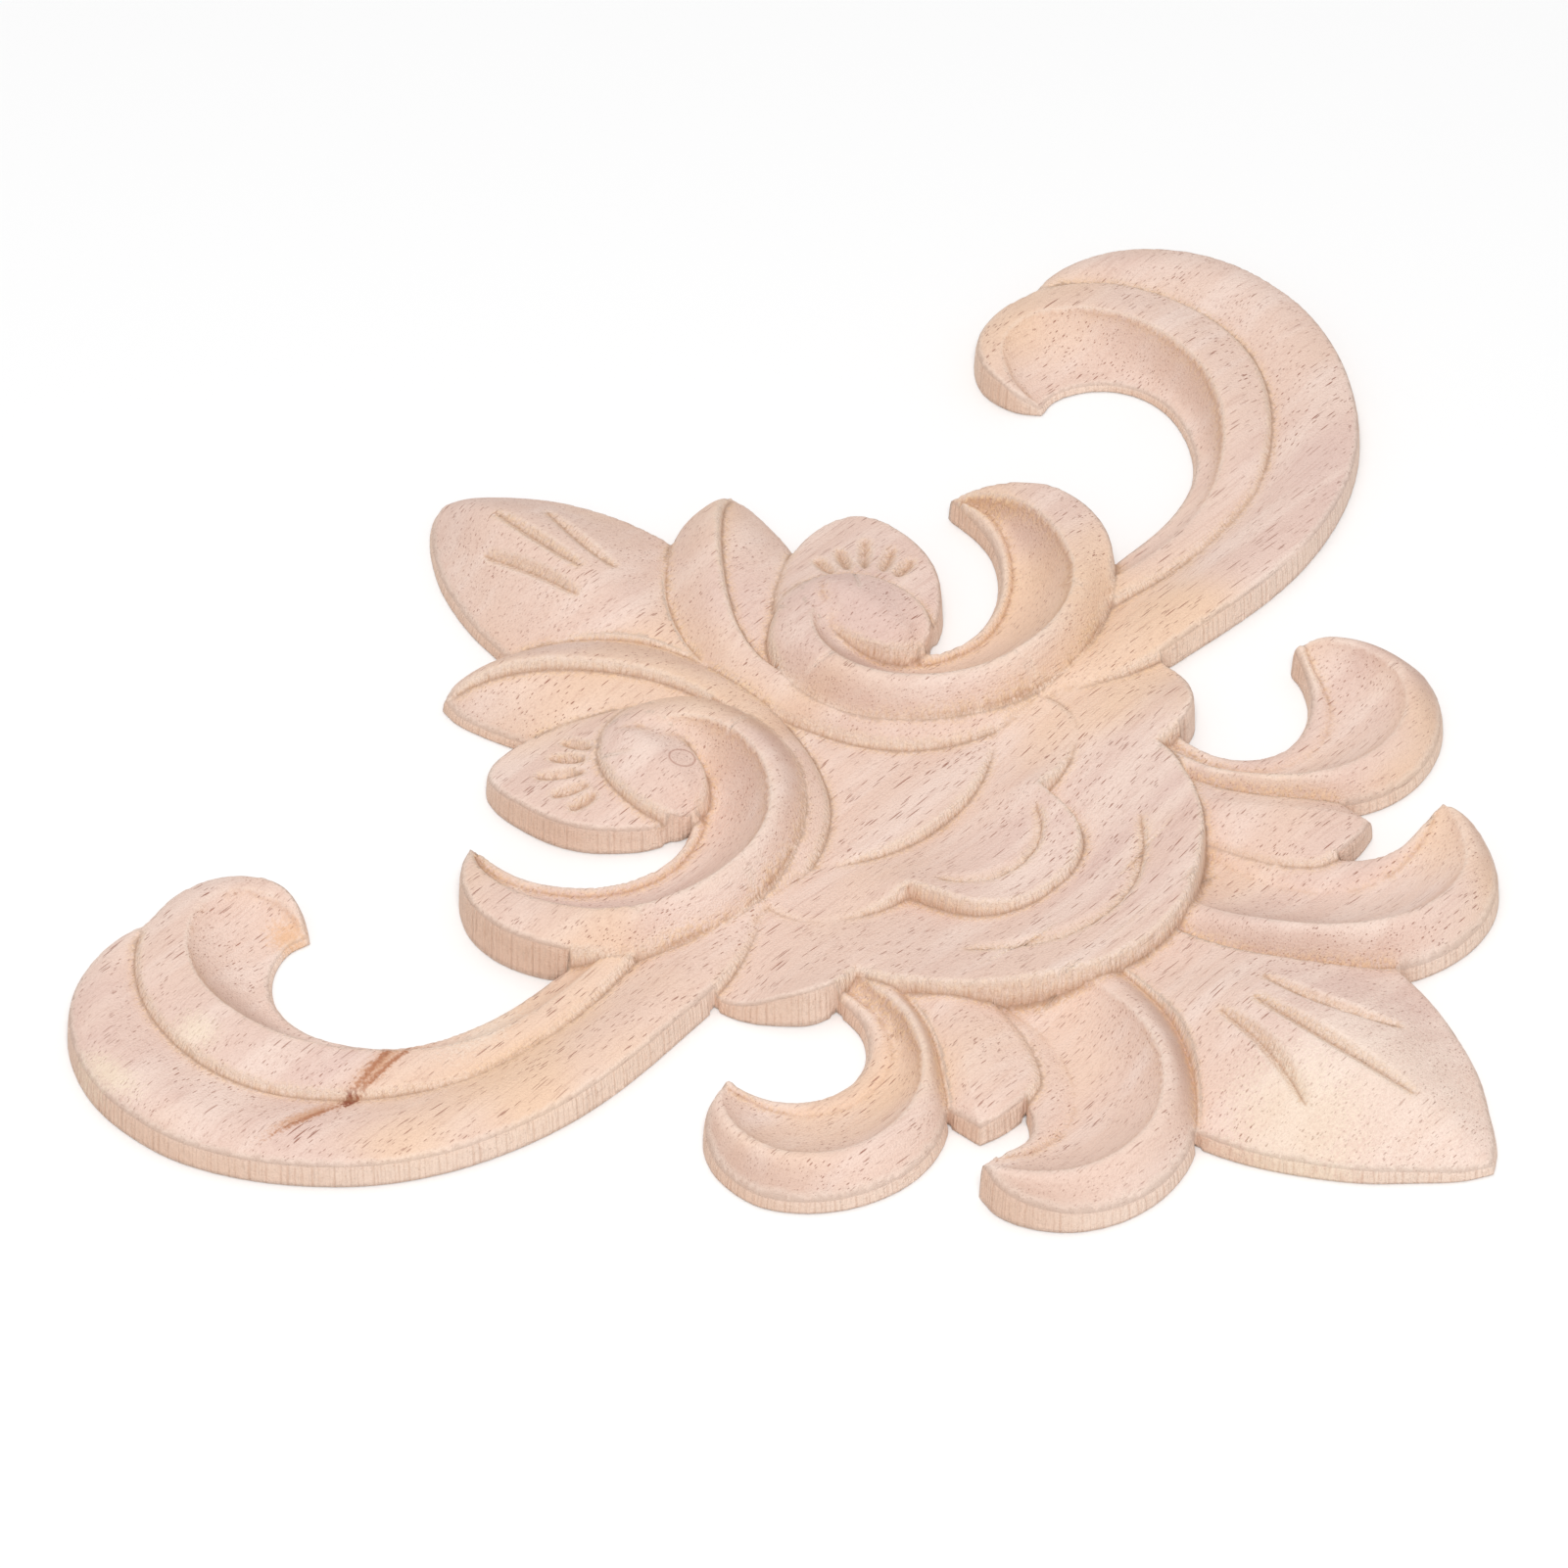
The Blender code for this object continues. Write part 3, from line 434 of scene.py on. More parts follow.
@dataclass
class CarvedState:
    """What is known at each plan point while forms are laid over each other.

    Attributes:
        xy: plan points in millimetres.
        z: heights, not a number in open air.
        wall: 1 on a cut wall, 0 on a carved face.
        along: length along the edge that made the wall, in millimetres.
    """

    xy: Array
    z: Array
    wall: Array
    along: Array

    @classmethod
    def open_air(cls, xy: Array) -> "CarvedState":
        """A state with nothing carved yet.

        Args:
            xy: plan points in millimetres.

        Returns:
            The state.
        """
        count = len(xy)
        return cls(xy, np.full(count, np.nan), np.zeros(count), np.zeros(count))

    def lay(self, form: Form, wall_run: float) -> None:
        """Lays one form over the ones below.

        Args:
            form: the form.
            wall_run: how far a cut wall leans out between its top and its foot.
        """
        low = form.ring[:, :2].min(0) - wall_run
        high = form.ring[:, :2].max(0) + wall_run
        close = np.flatnonzero(((self.xy > low) & (self.xy < high)).all(1))
        spot = self.xy[close]
        distance, _, _ = form.border.nearest(spot)
        open_distance, edge, along = form.cut_border.nearest(spot)
        covered = inside(form.ring, spot) | (distance < ON_BORDER)
        body = close[covered]
        gouged = form.gouged(self.xy[body])
        face = form.surface(self.xy[body]) - gouged
        below = self.z[body]
        depth = np.where(np.isnan(below), face, face - below)
        before = self.z.copy(), self.wall.copy(), self.along.copy()
        reach = np.where(np.isnan(below), form.round_over, form.soften)
        reach = np.minimum(reach, np.maximum(depth, 0) * SANDED_SHARE)
        gap = np.minimum(open_distance[covered], reach)
        face = face - (reach - np.sqrt(np.maximum(reach ** 2 - (reach - gap) ** 2, 0)))
        self.z[body] = face
        at_border = np.clip(depth, 0, 1) * (open_distance[covered] < AT_EDGE) * EDGE_WALL
        self.wall[body] = np.maximum(at_border, np.clip(gouged, 0, 1) * GOUGE_WALL)
        self.along[body] = along[covered]
        skirt = ~covered & (distance < wall_run * 1.05)
        foot = close[skirt]
        slope = np.minimum(distance[skirt] / wall_run, 1)
        step = edge[skirt] - self.z[foot]
        top = edge[skirt] - np.minimum(form.soften, np.maximum(step, 0) * SANDED_SHARE)
        self.z[foot] = top * (1 - slope) + self.z[foot] * slope
        self.wall[foot] = np.clip(np.abs(step), 0, 1)
        self.along[foot] = along[skirt]
        if form.emerges:
            hidden = before[0] > self.z
            for values, old in zip((self.z, self.wall, self.along), before):
                values[hidden] = old[hidden]


def wall_feet(form: Form, run: float) -> Array:
    """The line at a set distance outside a form's border.

    Args:
        form: the form.
        run: the distance, in millimetres.

    Returns:
        Plan points of the line.
    """
    ring = form.ring[:, :2]
    leg = np.roll(ring, -1, 0) - ring
    turn = (ring[:, 0] * np.roll(ring[:, 1], -1) - np.roll(ring[:, 0], -1) * ring[:, 1]).sum()
    out = np.stack([leg[:, 1], -leg[:, 0]], 1) / np.hypot(*leg.T)[:, None] * np.sign(turn)
    both = out + np.roll(out, 1, 0)
    sharpest, kept_share = 0.6, 0.9
    both /= np.maximum(np.hypot(*both.T), sharpest)[:, None]
    foot = ring + both * run
    distance, _, _ = form.border.nearest(foot)
    foot = foot[distance > run * kept_share]
    return np.vstack([foot, foot[:1]])


@dataclass
class Carving:
    """The whole carved face, its outer wall and its flat back, as one mesh.

    Attributes:
        forms: the forms of the right-hand half, from the bottom of the stack up.
        spacing: distance between surface points, in millimetres.
        wall_run: how far a cut wall leans out between its top and its foot.
        draft: how far the outer wall leans out at the back.
        middle_y: the drawing's y that comes to the origin.
        drop_lean: how far the drop leaf's tip stands off the middle, to +X.
        lean_start: the drop leaf starts to lean below this y of the part's frame.
        half_length: half the applique's length.
        wall_rows: rows of points down the outer wall.
        easing: rounds of evening out, which leave edges as soft as sanding does.
        fuzz_rounds: how many points wide the torn grain beside a crease is.
        middle_span: the middle line's y from end to end, past both tips.
        grid_x: the grid's x from end to end.
        grid_y: the grid's y from end to end.
        clearance: least distance from the grid to a guide line, in shares of the spacing.
    """

    forms: list[Form]
    spacing: float = 0.62
    wall_run: float = 0.55
    draft: float = 0.45
    middle_y: float = 2.9
    drop_lean: float = 3.0
    lean_start: float = -72.0
    half_length: float = 120.0
    wall_rows: int = 5
    easing: int = 1
    fuzz_rounds: int = 5
    middle_span: tuple[float, float] = (-125.0, 130.0)
    grid_x: tuple[float, float] = (0.2, 150.0)
    grid_y: tuple[float, float] = (-122.0, 126.0)
    clearance: float = 0.55

    def guides(self) -> list[Array]:
        """Lines that the mesh follows: borders, ridges, feet of walls, gouges and the middle.

        Returns:
            Plan points (x, y) in millimetres, one array for each line.
        """
        middle = np.arange(*self.middle_span, self.spacing)
        lines = [np.column_stack([np.zeros(len(middle)), middle])]
        for form in self.forms:
            lines.append(form.border.points[:, :2])
            lines += [rail[:, :2] for rail in form.rails[1:-1]]
            lines.append(wall_feet(form, self.wall_run))
            lines += [groove.line().points[:, :2] for groove in form.grooves]
        return lines

    def grid(self, lines: list[Array]) -> Array:
        """A triangular grid of plan points, clear of the guide lines.

        Args:
            lines: the guide lines.

        Returns:
            Plan points in millimetres.
        """
        row_share = 0.866
        x, y = np.meshgrid(np.arange(*self.grid_x, self.spacing),
                           np.arange(*self.grid_y, self.spacing * row_share))
        x = x + (np.arange(len(y)) % 2)[:, None] * self.spacing / 2
        grid = np.stack([x.ravel(), y.ravel()], 1)
        covered = np.zeros(len(grid), bool)
        for form in self.forms:
            covered |= inside(form.ring, grid)
        grid = grid[covered]
        marks = np.vstack(lines)
        tree = kdtree.KDTree(len(marks))
        for number, (px, py) in enumerate(marks):
            tree.insert((px, py, 0.0), number)
        tree.balance()
        room = self.spacing * self.clearance
        clear = [tree.find((px, py, 0.0))[2] > room for px, py in grid]
        return grid[np.array(clear)]

    def plan(self) -> tuple[Array, Array]:
        """Triangles of the right-hand half, seen from above.

        Returns:
            Plan points, and triangles as rows of three numbers.
        """
        lines = self.guides()
        points, edges, count = [], [], 0
        for line in lines:
            points.append(line)
            edges += [(count + i, count + i + 1) for i in range(len(line) - 1)]
            count += len(line)
        points.append(self.grid(lines))
        flat_points = [Vector(p) for p in np.vstack(points)]
        corners, _, faces, *_ = delaunay_2d_cdt(flat_points, edges, [], 0, MERGE_GAP)
        xy = np.array([tuple(corner) for corner in corners])
        xy[np.abs(xy[:, 0]) < SNAP_TO_MIDDLE, 0] = 0
        faces = np.array(faces)
        middle = xy[faces].mean(1)
        solid = np.zeros(len(faces), bool)
        for form in self.forms:
            solid |= inside(form.ring, middle)
        faces = faces[solid & (middle[:, 0] > 0)]
        used, numbered = np.unique(faces, return_inverse=True)
        return xy[used], numbered.reshape(-1, 3)

    def heights(self, xy: Array) -> CarvedState:
        """Carves all forms.

        Args:
            xy: plan points in millimetres.

        Returns:
            The carved state, with no gaps.
        """
        state = CarvedState.open_air(xy)
        for form in self.forms:
            state.lay(form, self.wall_run)
        gap = np.isnan(state.z)
        for i in np.flatnonzero(gap):
            state.z[i] = state.z[~gap][np.hypot(*(xy[~gap] - xy[i]).T).argmin()]
        return state

    def mirrored(self, xy: Array, faces: Array, *values: Array) -> tuple[Array, ...]:
        """Adds the left-hand half.

        Args:
            xy: plan points of the right-hand half.
            faces: its triangles.
            values: one number for each point.

        Returns:
            Plan points, triangles and values of both halves.
        """
        off = np.flatnonzero(xy[:, 0] > 1e-6)
        number = np.arange(len(xy))
        number[off] = len(xy) + np.arange(len(off))
        both = np.vstack([xy, xy[off] * (-1, 1)])
        faces = np.vstack([faces, number[faces[:, ::-1]]])
        return both, faces, *(np.concatenate([value, value[off]]) for value in values)

    def eased(self, xy: Array, z: Array, faces: Array,
              rim: Array) -> tuple[Array, Array, Array]:
        """Evens out the heights a little, as sanding does, and finds the folds.

        Args:
            xy: plan points.
            z: heights.
            faces: triangles.
            rim: numbers of the points on the outer edge, which keep their heights.

        Returns:
            The new heights, the folds from -1 on a sharp edge to 1 in a crease, and how near
            a crease is, from 0 to 1.
        """
        pairs = np.vstack([faces[:, [0, 1]], faces[:, [1, 2]], faces[:, [2, 0]]])
        ends = np.concatenate([pairs[:, 0], pairs[:, 1]])
        others = np.concatenate([pairs[:, 1], pairs[:, 0]])
        share = np.maximum(np.bincount(ends, minlength=len(z)), 1)
        shift = np.stack([np.bincount(ends, xy[others, i] - xy[ends, i], minlength=len(z)) / share
                          for i in (0, 1)], 1)
        share_moved = 0.2
        full_fold, least_fold = 0.32 * self.spacing, 0.25
        kept, passed_on, gain = 0.4, 0.6, 3.5
        for _ in range(self.easing + 1):
            slope = self.slopes(xy, z, faces)
            depth = np.bincount(ends, z[others], minlength=len(z)) / share - z
            depth -= (slope * shift).sum(1)
            depth[rim] = 0
            z = z + depth * share_moved
        fold = depth / full_fold
        fold = np.clip(np.where(np.abs(fold) > least_fold, fold, 0), -1, 1)
        fuzz = np.maximum(fold, 0)
        for _ in range(self.fuzz_rounds):
            around = np.bincount(ends, fuzz[others], minlength=len(z)) / share
            fuzz = fuzz * kept + around * passed_on
        return z, fold, np.clip(fuzz * gain, 0, 1)

    @staticmethod
    def slopes(xy: Array, z: Array, faces: Array) -> Array:
        """How steep the surface is at each point.

        Args:
            xy: plan points.
            z: heights.
            faces: triangles.

        Returns:
            Rise along x and along y.
        """
        a, b, c = (np.column_stack([xy, z])[faces[:, i]] for i in range(3))
        normal = np.cross(b - a, c - a)
        total = np.stack([np.bincount(faces.ravel(), np.repeat(normal[:, i], 3), minlength=len(z))
                          for i in range(3)], 1)
        return -total[:, :2] / np.maximum(np.abs(total[:, 2:]), 1e-9) * np.sign(total[:, 2:])

    @staticmethod
    def outline(faces: Array) -> Array:
        """The points on the outer edge, in order round it.

        Args:
            faces: triangles of both halves.

        Returns:
            Point numbers, with the wood on the left.
        """
        directed = np.vstack([faces[:, [0, 1]], faces[:, [1, 2]], faces[:, [2, 0]]])
        known = set(map(tuple, directed.tolist()))
        following = {a: b for a, b in known if (b, a) not in known}
        order = [next(iter(following))]
        while following[order[-1]] != order[0]:
            order.append(following[order[-1]])
        return np.array(order)

    def skirt(self, top: Array) -> list[Array]:
        """Rows of points down the outer wall.

        Args:
            top: points of the outer edge in order, as rows of (x, y, z).

        Returns:
            One array of points for each row, the last one on the back.
        """
        leg = np.roll(top, -1, 0)[:, :2] - top[:, :2]
        leg = leg / np.maximum(np.hypot(*leg.T), 1e-6)[:, None]
        side = np.stack([leg[:, 1], -leg[:, 0]], 1)
        inward_turn, spread, sharpest = -0.3, 3, 0.3
        notch = (np.roll(leg, 1, 0) * side).sum(1) < inward_turn
        for _ in range(spread):
            notch = notch | np.roll(notch, 1) | np.roll(notch, -1)
        out = side + np.roll(side, 1, 0)
        out /= np.maximum(np.hypot(*out.T), sharpest)[:, None]
        out[notch] = 0
        rows = []
        for step in range(1, self.wall_rows + 1):
            share = step / self.wall_rows
            xy = top[:, :2] + out * self.draft * share ** 0.5
            rows.append(np.column_stack([xy, top[:, 2] * (1 - share)]))
        return rows

    def build(self, name: str) -> bpy.types.Object:
        """Builds the mesh.

        Args:
            name: the object's name.

        Returns:
            The object, with the point attributes wall, along, fold and fuzz.
        """
        plan_xy, faces = self.plan()
        area = np.cross(plan_xy[faces[:, 1]] - plan_xy[faces[:, 0]],
                        plan_xy[faces[:, 2]] - plan_xy[faces[:, 0]])
        faces[area < 0] = faces[area < 0][:, ::-1]
        state = self.heights(plan_xy)
        xy, faces, z, wall, along = self.mirrored(plan_xy, faces, state.z, state.wall, state.along)
        rim = self.outline(faces)
        z, fold, fuzz = self.eased(xy, z, faces, rim)
        face_points = np.column_stack([xy - (0, self.middle_y), z])
        rows = self.skirt(face_points[rim])
        size = len(rim)
        number = [rim] + [len(xy) + size * i + np.arange(size) for i in range(len(rows))]
        walls = []
        for upper, lower in zip(number, number[1:]):
            a, b = upper, np.roll(upper, -1)
            c, d = np.roll(lower, -1), lower
            walls += [np.column_stack([a, c, b]), np.column_stack([a, d, c])]
        foot = [Vector((x, y, 0.0)) for x, y, _ in rows[-1]]
        back = np.array(tessellate_polygon([foot]))
        flat = rows[-1][:, :2]
        turn = np.cross(flat[back[:, 1]] - flat[back[:, 0]], flat[back[:, 2]] - flat[back[:, 0]])
        back[turn > 0] = back[turn > 0][:, ::-1]
        points = np.vstack([face_points, *rows])
        depth = (self.lean_start - points[:, 1]) / (self.half_length + self.lean_start)
        points[:, 0] += self.drop_lean * np.clip(depth, 0, None) ** 1.5
        every = np.vstack([faces, *walls, number[-1][back]])
        length = np.hypot(*np.diff(flat, axis=0, append=flat[:1]).T).cumsum()
        wall = np.concatenate([wall, np.ones(size * len(rows))])
        wall[rim] = EDGE_WALL
        along[rim] = length
        along = np.concatenate([along, np.tile(length, len(rows))])
        mesh = bpy.data.meshes.new(name)
        mesh.from_pydata((points * MM).tolist(), [], every.tolist())
        off_face = np.zeros(size * len(rows))
        for label, values in (("wall", wall), ("along", along),
                              ("fold", np.concatenate([fold, off_face])),
                              ("fuzz", np.concatenate([fuzz, off_face]))):
            mesh.attributes.new(label, "FLOAT", "POINT").data.foreach_set("value", values)
        mesh.shade_smooth()
        result = bpy.data.objects.new(name, mesh)
        bpy.context.scene.collection.objects.link(result)
        log.info("%s: %d triangles", name, len(every))
        return result


# How a scroll's surface runs: up to its ridge, down the hollow to its quirk, over its bead
SCROLL = [Profile.SWELLING, Profile.HOLLOW_DOWN, Profile.FLAT]


@dataclass(frozen=True)
class DropLeaf:
    """The leaf at the bottom.

    Attributes:
        vein: the section of a vein.
    """

    vein: Gouge = Gouge(1.6, 1.6, 1.7)

    def forms(self) -> list[Form]:
        """All of its forms, from the bottom up."""
        return [self.drop_leaf()]

    def drop_leaf(self) -> Form:
        """The pointed leaf that hangs below, domed, with veins.

        Returns:
            The leaf's form.
        """
        edge = smooth([(22, -40, 4), (25.5, -58, 4), (26.6, -70, 3.8), (25.4, -79, 3.5),
                       (22.4, -88.5, 3.4), (15.4, -101.5, 3.2), (9.2, -108.8, 2.8),
                       (4.2, -114, 2.3), (0, -116.6, 2)])
        spine = smooth([(0, -40, 4.3), (0, -52, 5.5), (0, -62, 8.6), (0, -72, 10.4),
                        (0, -84, 10.8), (0, -96, 9.8), (0, -107, 6.6), (0, -116.6, 2)])
        veins = [Groove(((0, -67), (0, -84), (0, -101)), self.vein),
                 Groove(((5.4, -64.4), (6.6, -74), (9.2, -82), (12.4, -89)), self.vein)]
        return Form([edge, spine], [Profile.SWELLING], grooves=veins)


@dataclass(frozen=True)
class LowerScrolls:
    """The two scrolls and the dart under the shield.

    Attributes:
        bead: how far the inner beads stand out, in millimetres.
    """

    bead: float = 0.7

    def forms(self) -> list[Form]:
        """All of its forms, from the bottom up."""
        return [self.inner_scroll(), self.dart(), self.outer_scroll()]

    def inner_scroll(self) -> Form:
        """The scroll beside the drop leaf.

        Returns:
            The scroll's form.
        """
        outer = smooth([(6.4, -30, 4), (6.6, -38, 4), (7.4, -47, 4.2), (9.8, -57, 4.4),
                        (13.3, -64, 4.2), (18.7, -70.8, 4), (26.5, -77.4, 3.6), (33, -80, 3.5),
                        (40.5, -80.7, 3.6), (48, -79, 4), (54, -75, 4.6), (57.9, -69.3, 5.6),
                        (59.3, -64, 6.8), (58.3, -59.3, 8)])
        ridge = smooth([(12, -30, 4.4), (12.4, -38, 4.8), (13.4, -47.5, 6.6), (15.8, -55.8, 8.5),
                        (20, -64, 9.8), (26.5, -70.5, 10.2), (34, -74.2, 10.2), (42, -74.6, 9.8),
                        (49, -72, 9.2), (54, -67.2, 8.7), (56.8, -62.8, 8.4), (58.3, -59.3, 8)])
        quirk = smooth([(25, -28, 2.5), (25.4, -36, 2.5), (26, -43.9, 2.5), (28, -49.9, 2.5),
                        (32, -56, 2.6), (37.4, -60.2, 3), (44, -61.9, 3.8), (49.5, -61.8, 5.3),
                        (53.5, -60.8, 6.8), (58.3, -59.3, 8)])
        inner = smooth([(28, -28, 3), (29, -34, 3), (31.4, -39.5, 3), (34.2, -44, 3),
                        (36.8, -48, 3), (39.4, -52, 3), (42, -55.7, 3.6), (45.3, -58.2, 4.4),
                        (49, -59.3, 5.4), (53.5, -59.4, 6.8), (58.3, -59.3, 8)])
        return Form([outer, ridge, quirk, inner], SCROLL, [0.3, 0, self.bead])

    def dart(self) -> Form:
        """The small pointed leaf between the two scrolls.

        Returns:
            The dart's form.
        """
        lower = smooth([(24, -18, 4), (25.4, -27, 4), (27.2, -34, 4), (29, -40, 4),
                        (31.6, -46, 4.2), (35.6, -51, 4.6), (40.4, -52.2, 5), (45.4, -52, 4.8),
                        (49.5, -51, 4.2)])
        ridge = smooth([(30, -18, 5.2), (32, -26, 5.6), (36, -33, 6), (40.5, -39.5, 6.2),
                        (45, -44.8, 5.8), (49.5, -51, 4.2)])
        upper = smooth([(38, -14, 3.8), (41, -22, 3.6), (46, -32, 3.4), (50, -39, 3.4),
                        (49.8, -45, 3.8), (49.5, -51, 4.2)])
        return Form([lower, ridge, upper], [Profile.SWELLING, Profile.FLAT])

    def outer_scroll(self) -> Form:
        """The scroll at the shield's side.

        Returns:
            The scroll's form.
        """
        outer = smooth([(34.4, -6, 4.6), (34.8, -14, 4.6), (36.2, -22, 4.3), (39.8, -31, 4),
                        (45.2, -38.4, 3.6), (50.8, -44.6, 3.2), (57, -47.6, 3), (63.5, -48.4, 3),
                        (70, -47.2, 3), (76, -44.3, 2.9), (81.2, -39.6, 2.8), (84.3, -34.4, 2.8),
                        (85, -29, 2.8), (84, -23.4, 3.2), (81.2, -18.8, 4.2), (77.8, -16.2, 5.5),
                        (73.5, -15.2, 6.5)])
        ridge = smooth([(38, -6, 5), (38.4, -15, 5.4), (39.6, -24, 6.2), (43.2, -31.2, 6.9),
                        (48, -36.8, 7.3), (54.5, -40.8, 7.5), (62.5, -42.2, 7.5),
                        (70, -40.6, 7.5), (75.4, -36.8, 7.5), (78.6, -31.5, 7.4),
                        (79.2, -25, 7.2), (77.4, -19.5, 6.9), (73.5, -15.2, 6.5)])
        quirk = smooth([(41.2, -6, 3.3), (41.2, -14, 3.3), (42, -21, 3.2), (44.4, -26, 3),
                        (48, -29.6, 2.8), (53, -31.5, 2.5), (58, -31.7, 2.4), (63, -30, 2.4),
                        (67.2, -26.8, 2.7), (70, -22.6, 3.3), (71.6, -18.8, 4.4),
                        (73.5, -15.2, 6.5)])
        inner = smooth([(44, -6, 3.6), (43.4, -12, 3.6), (43.7, -17, 3.2), (45, -21, 2.7),
                        (48, -24.6, 2.3), (52.5, -26.9, 2), (57.2, -27.3, 2), (62, -26, 2.3),
                        (66, -23.5, 2.9), (68.8, -20.3, 3.6), (70.4, -17.6, 4.6),
                        (71.6, -14.8, 6.4), (73.5, -15.2, 6.5)])
        return Form([outer, ridge, quirk, inner], SCROLL, [0.3, 0, self.bead])


@dataclass(frozen=True)
class Shield:
    """The lobed shields and the dish in the middle.

    Attributes:
        arc: the section of the cut arcs, steep on the outer side.
    """

    arc: Gouge = Gouge(2.4, 0.35, 1.2)

    def forms(self) -> list[Form]:
        """All of its forms, from the bottom up."""
        return [self.lower_shield(), self.upper_shield(), self.dish()]

    def lower_shield(self) -> Form:
        """The wide lobed shield.

        Returns:
            The shield's form.
        """
        top = smooth([(0, -14, 1.6), (11, -12, 2), (20, 0, 2.2), (32, 10, 2.8), (46, 12, 3),
                      (56.5, 6, 2.4)], level=True)
        edge = smooth([(0, -44.6, 9), (9.5, -43.3, 9.2), (18, -39.4, 9.4), (27.1, -32.5, 9),
                       (33.2, -24.6, 8.2), (36.9, -17, 7.2), (38.2, -12.4, 6.4), (43.5, -13, 7.6),
                       (48.4, -11.6, 8), (52, -8, 6.4), (54.6, -4.4, 4.4), (56.2, 0, 2.9),
                       (56.5, 6, 2.4)], level=True, corners=(6,))
        arc = Groove(((-6, -34), (0, -34.7), (9, -33), (16.5, -28.4), (22.5, -22.5)), self.arc)
        return Form([edge, top], [Profile.FLAT], grooves=[arc])

    def upper_shield(self) -> Form:
        """The small lobed shield on it.

        Returns:
            The shield's form.
        """
        top = smooth([(0, 5, 1.2), (10, 7, 1.5), (20, 13, 2), (27, 16, 2.5), (34.7, 12.6, 3.5)],
                     level=True)
        edge = smooth([(0, -22.3, 6), (4.5, -22, 6.2), (9.2, -20.3, 6.6), (12.6, -17.4, 7),
                       (14.7, -13.4, 7), (15.8, -9, 6.8), (16.6, -4.8, 6.2), (22, -4.2, 5),
                       (27, -2.3, 4.2), (31.2, 0.6, 4), (33.8, 3.6, 4), (34.9, 8, 3.8),
                       (34.7, 12.6, 3.5)], level=True, corners=(6,))
        arc = Groove(((-5, -14.2), (0, -15), (5, -14.2), (9.4, -11.6), (12.6, -7.4)), self.arc)
        return Form([edge, top], [Profile.FLAT], grooves=[arc])

    def dish(self) -> Form:
        """The shallow dish between the stems.

        Returns:
            The dish's form.
        """
        spine = smooth([(0, 46, 2.6), (0, 32, 2.6), (0, 18, 2.6), (0, 3.2, 4.2)])
        edge = smooth([(0, 46, 2.6), (4, 38, 2.1), (7.5, 27, 1.7), (14, 19, 1.7), (25, 13, 2),
                       (19.5, 9.2, 2.8), (13, 5.6, 3.7), (6, 3.6, 4.1), (0, 3.2, 4.2)],
                      corners=(4,))
        return Form([edge, spine], [Profile.FLAT])


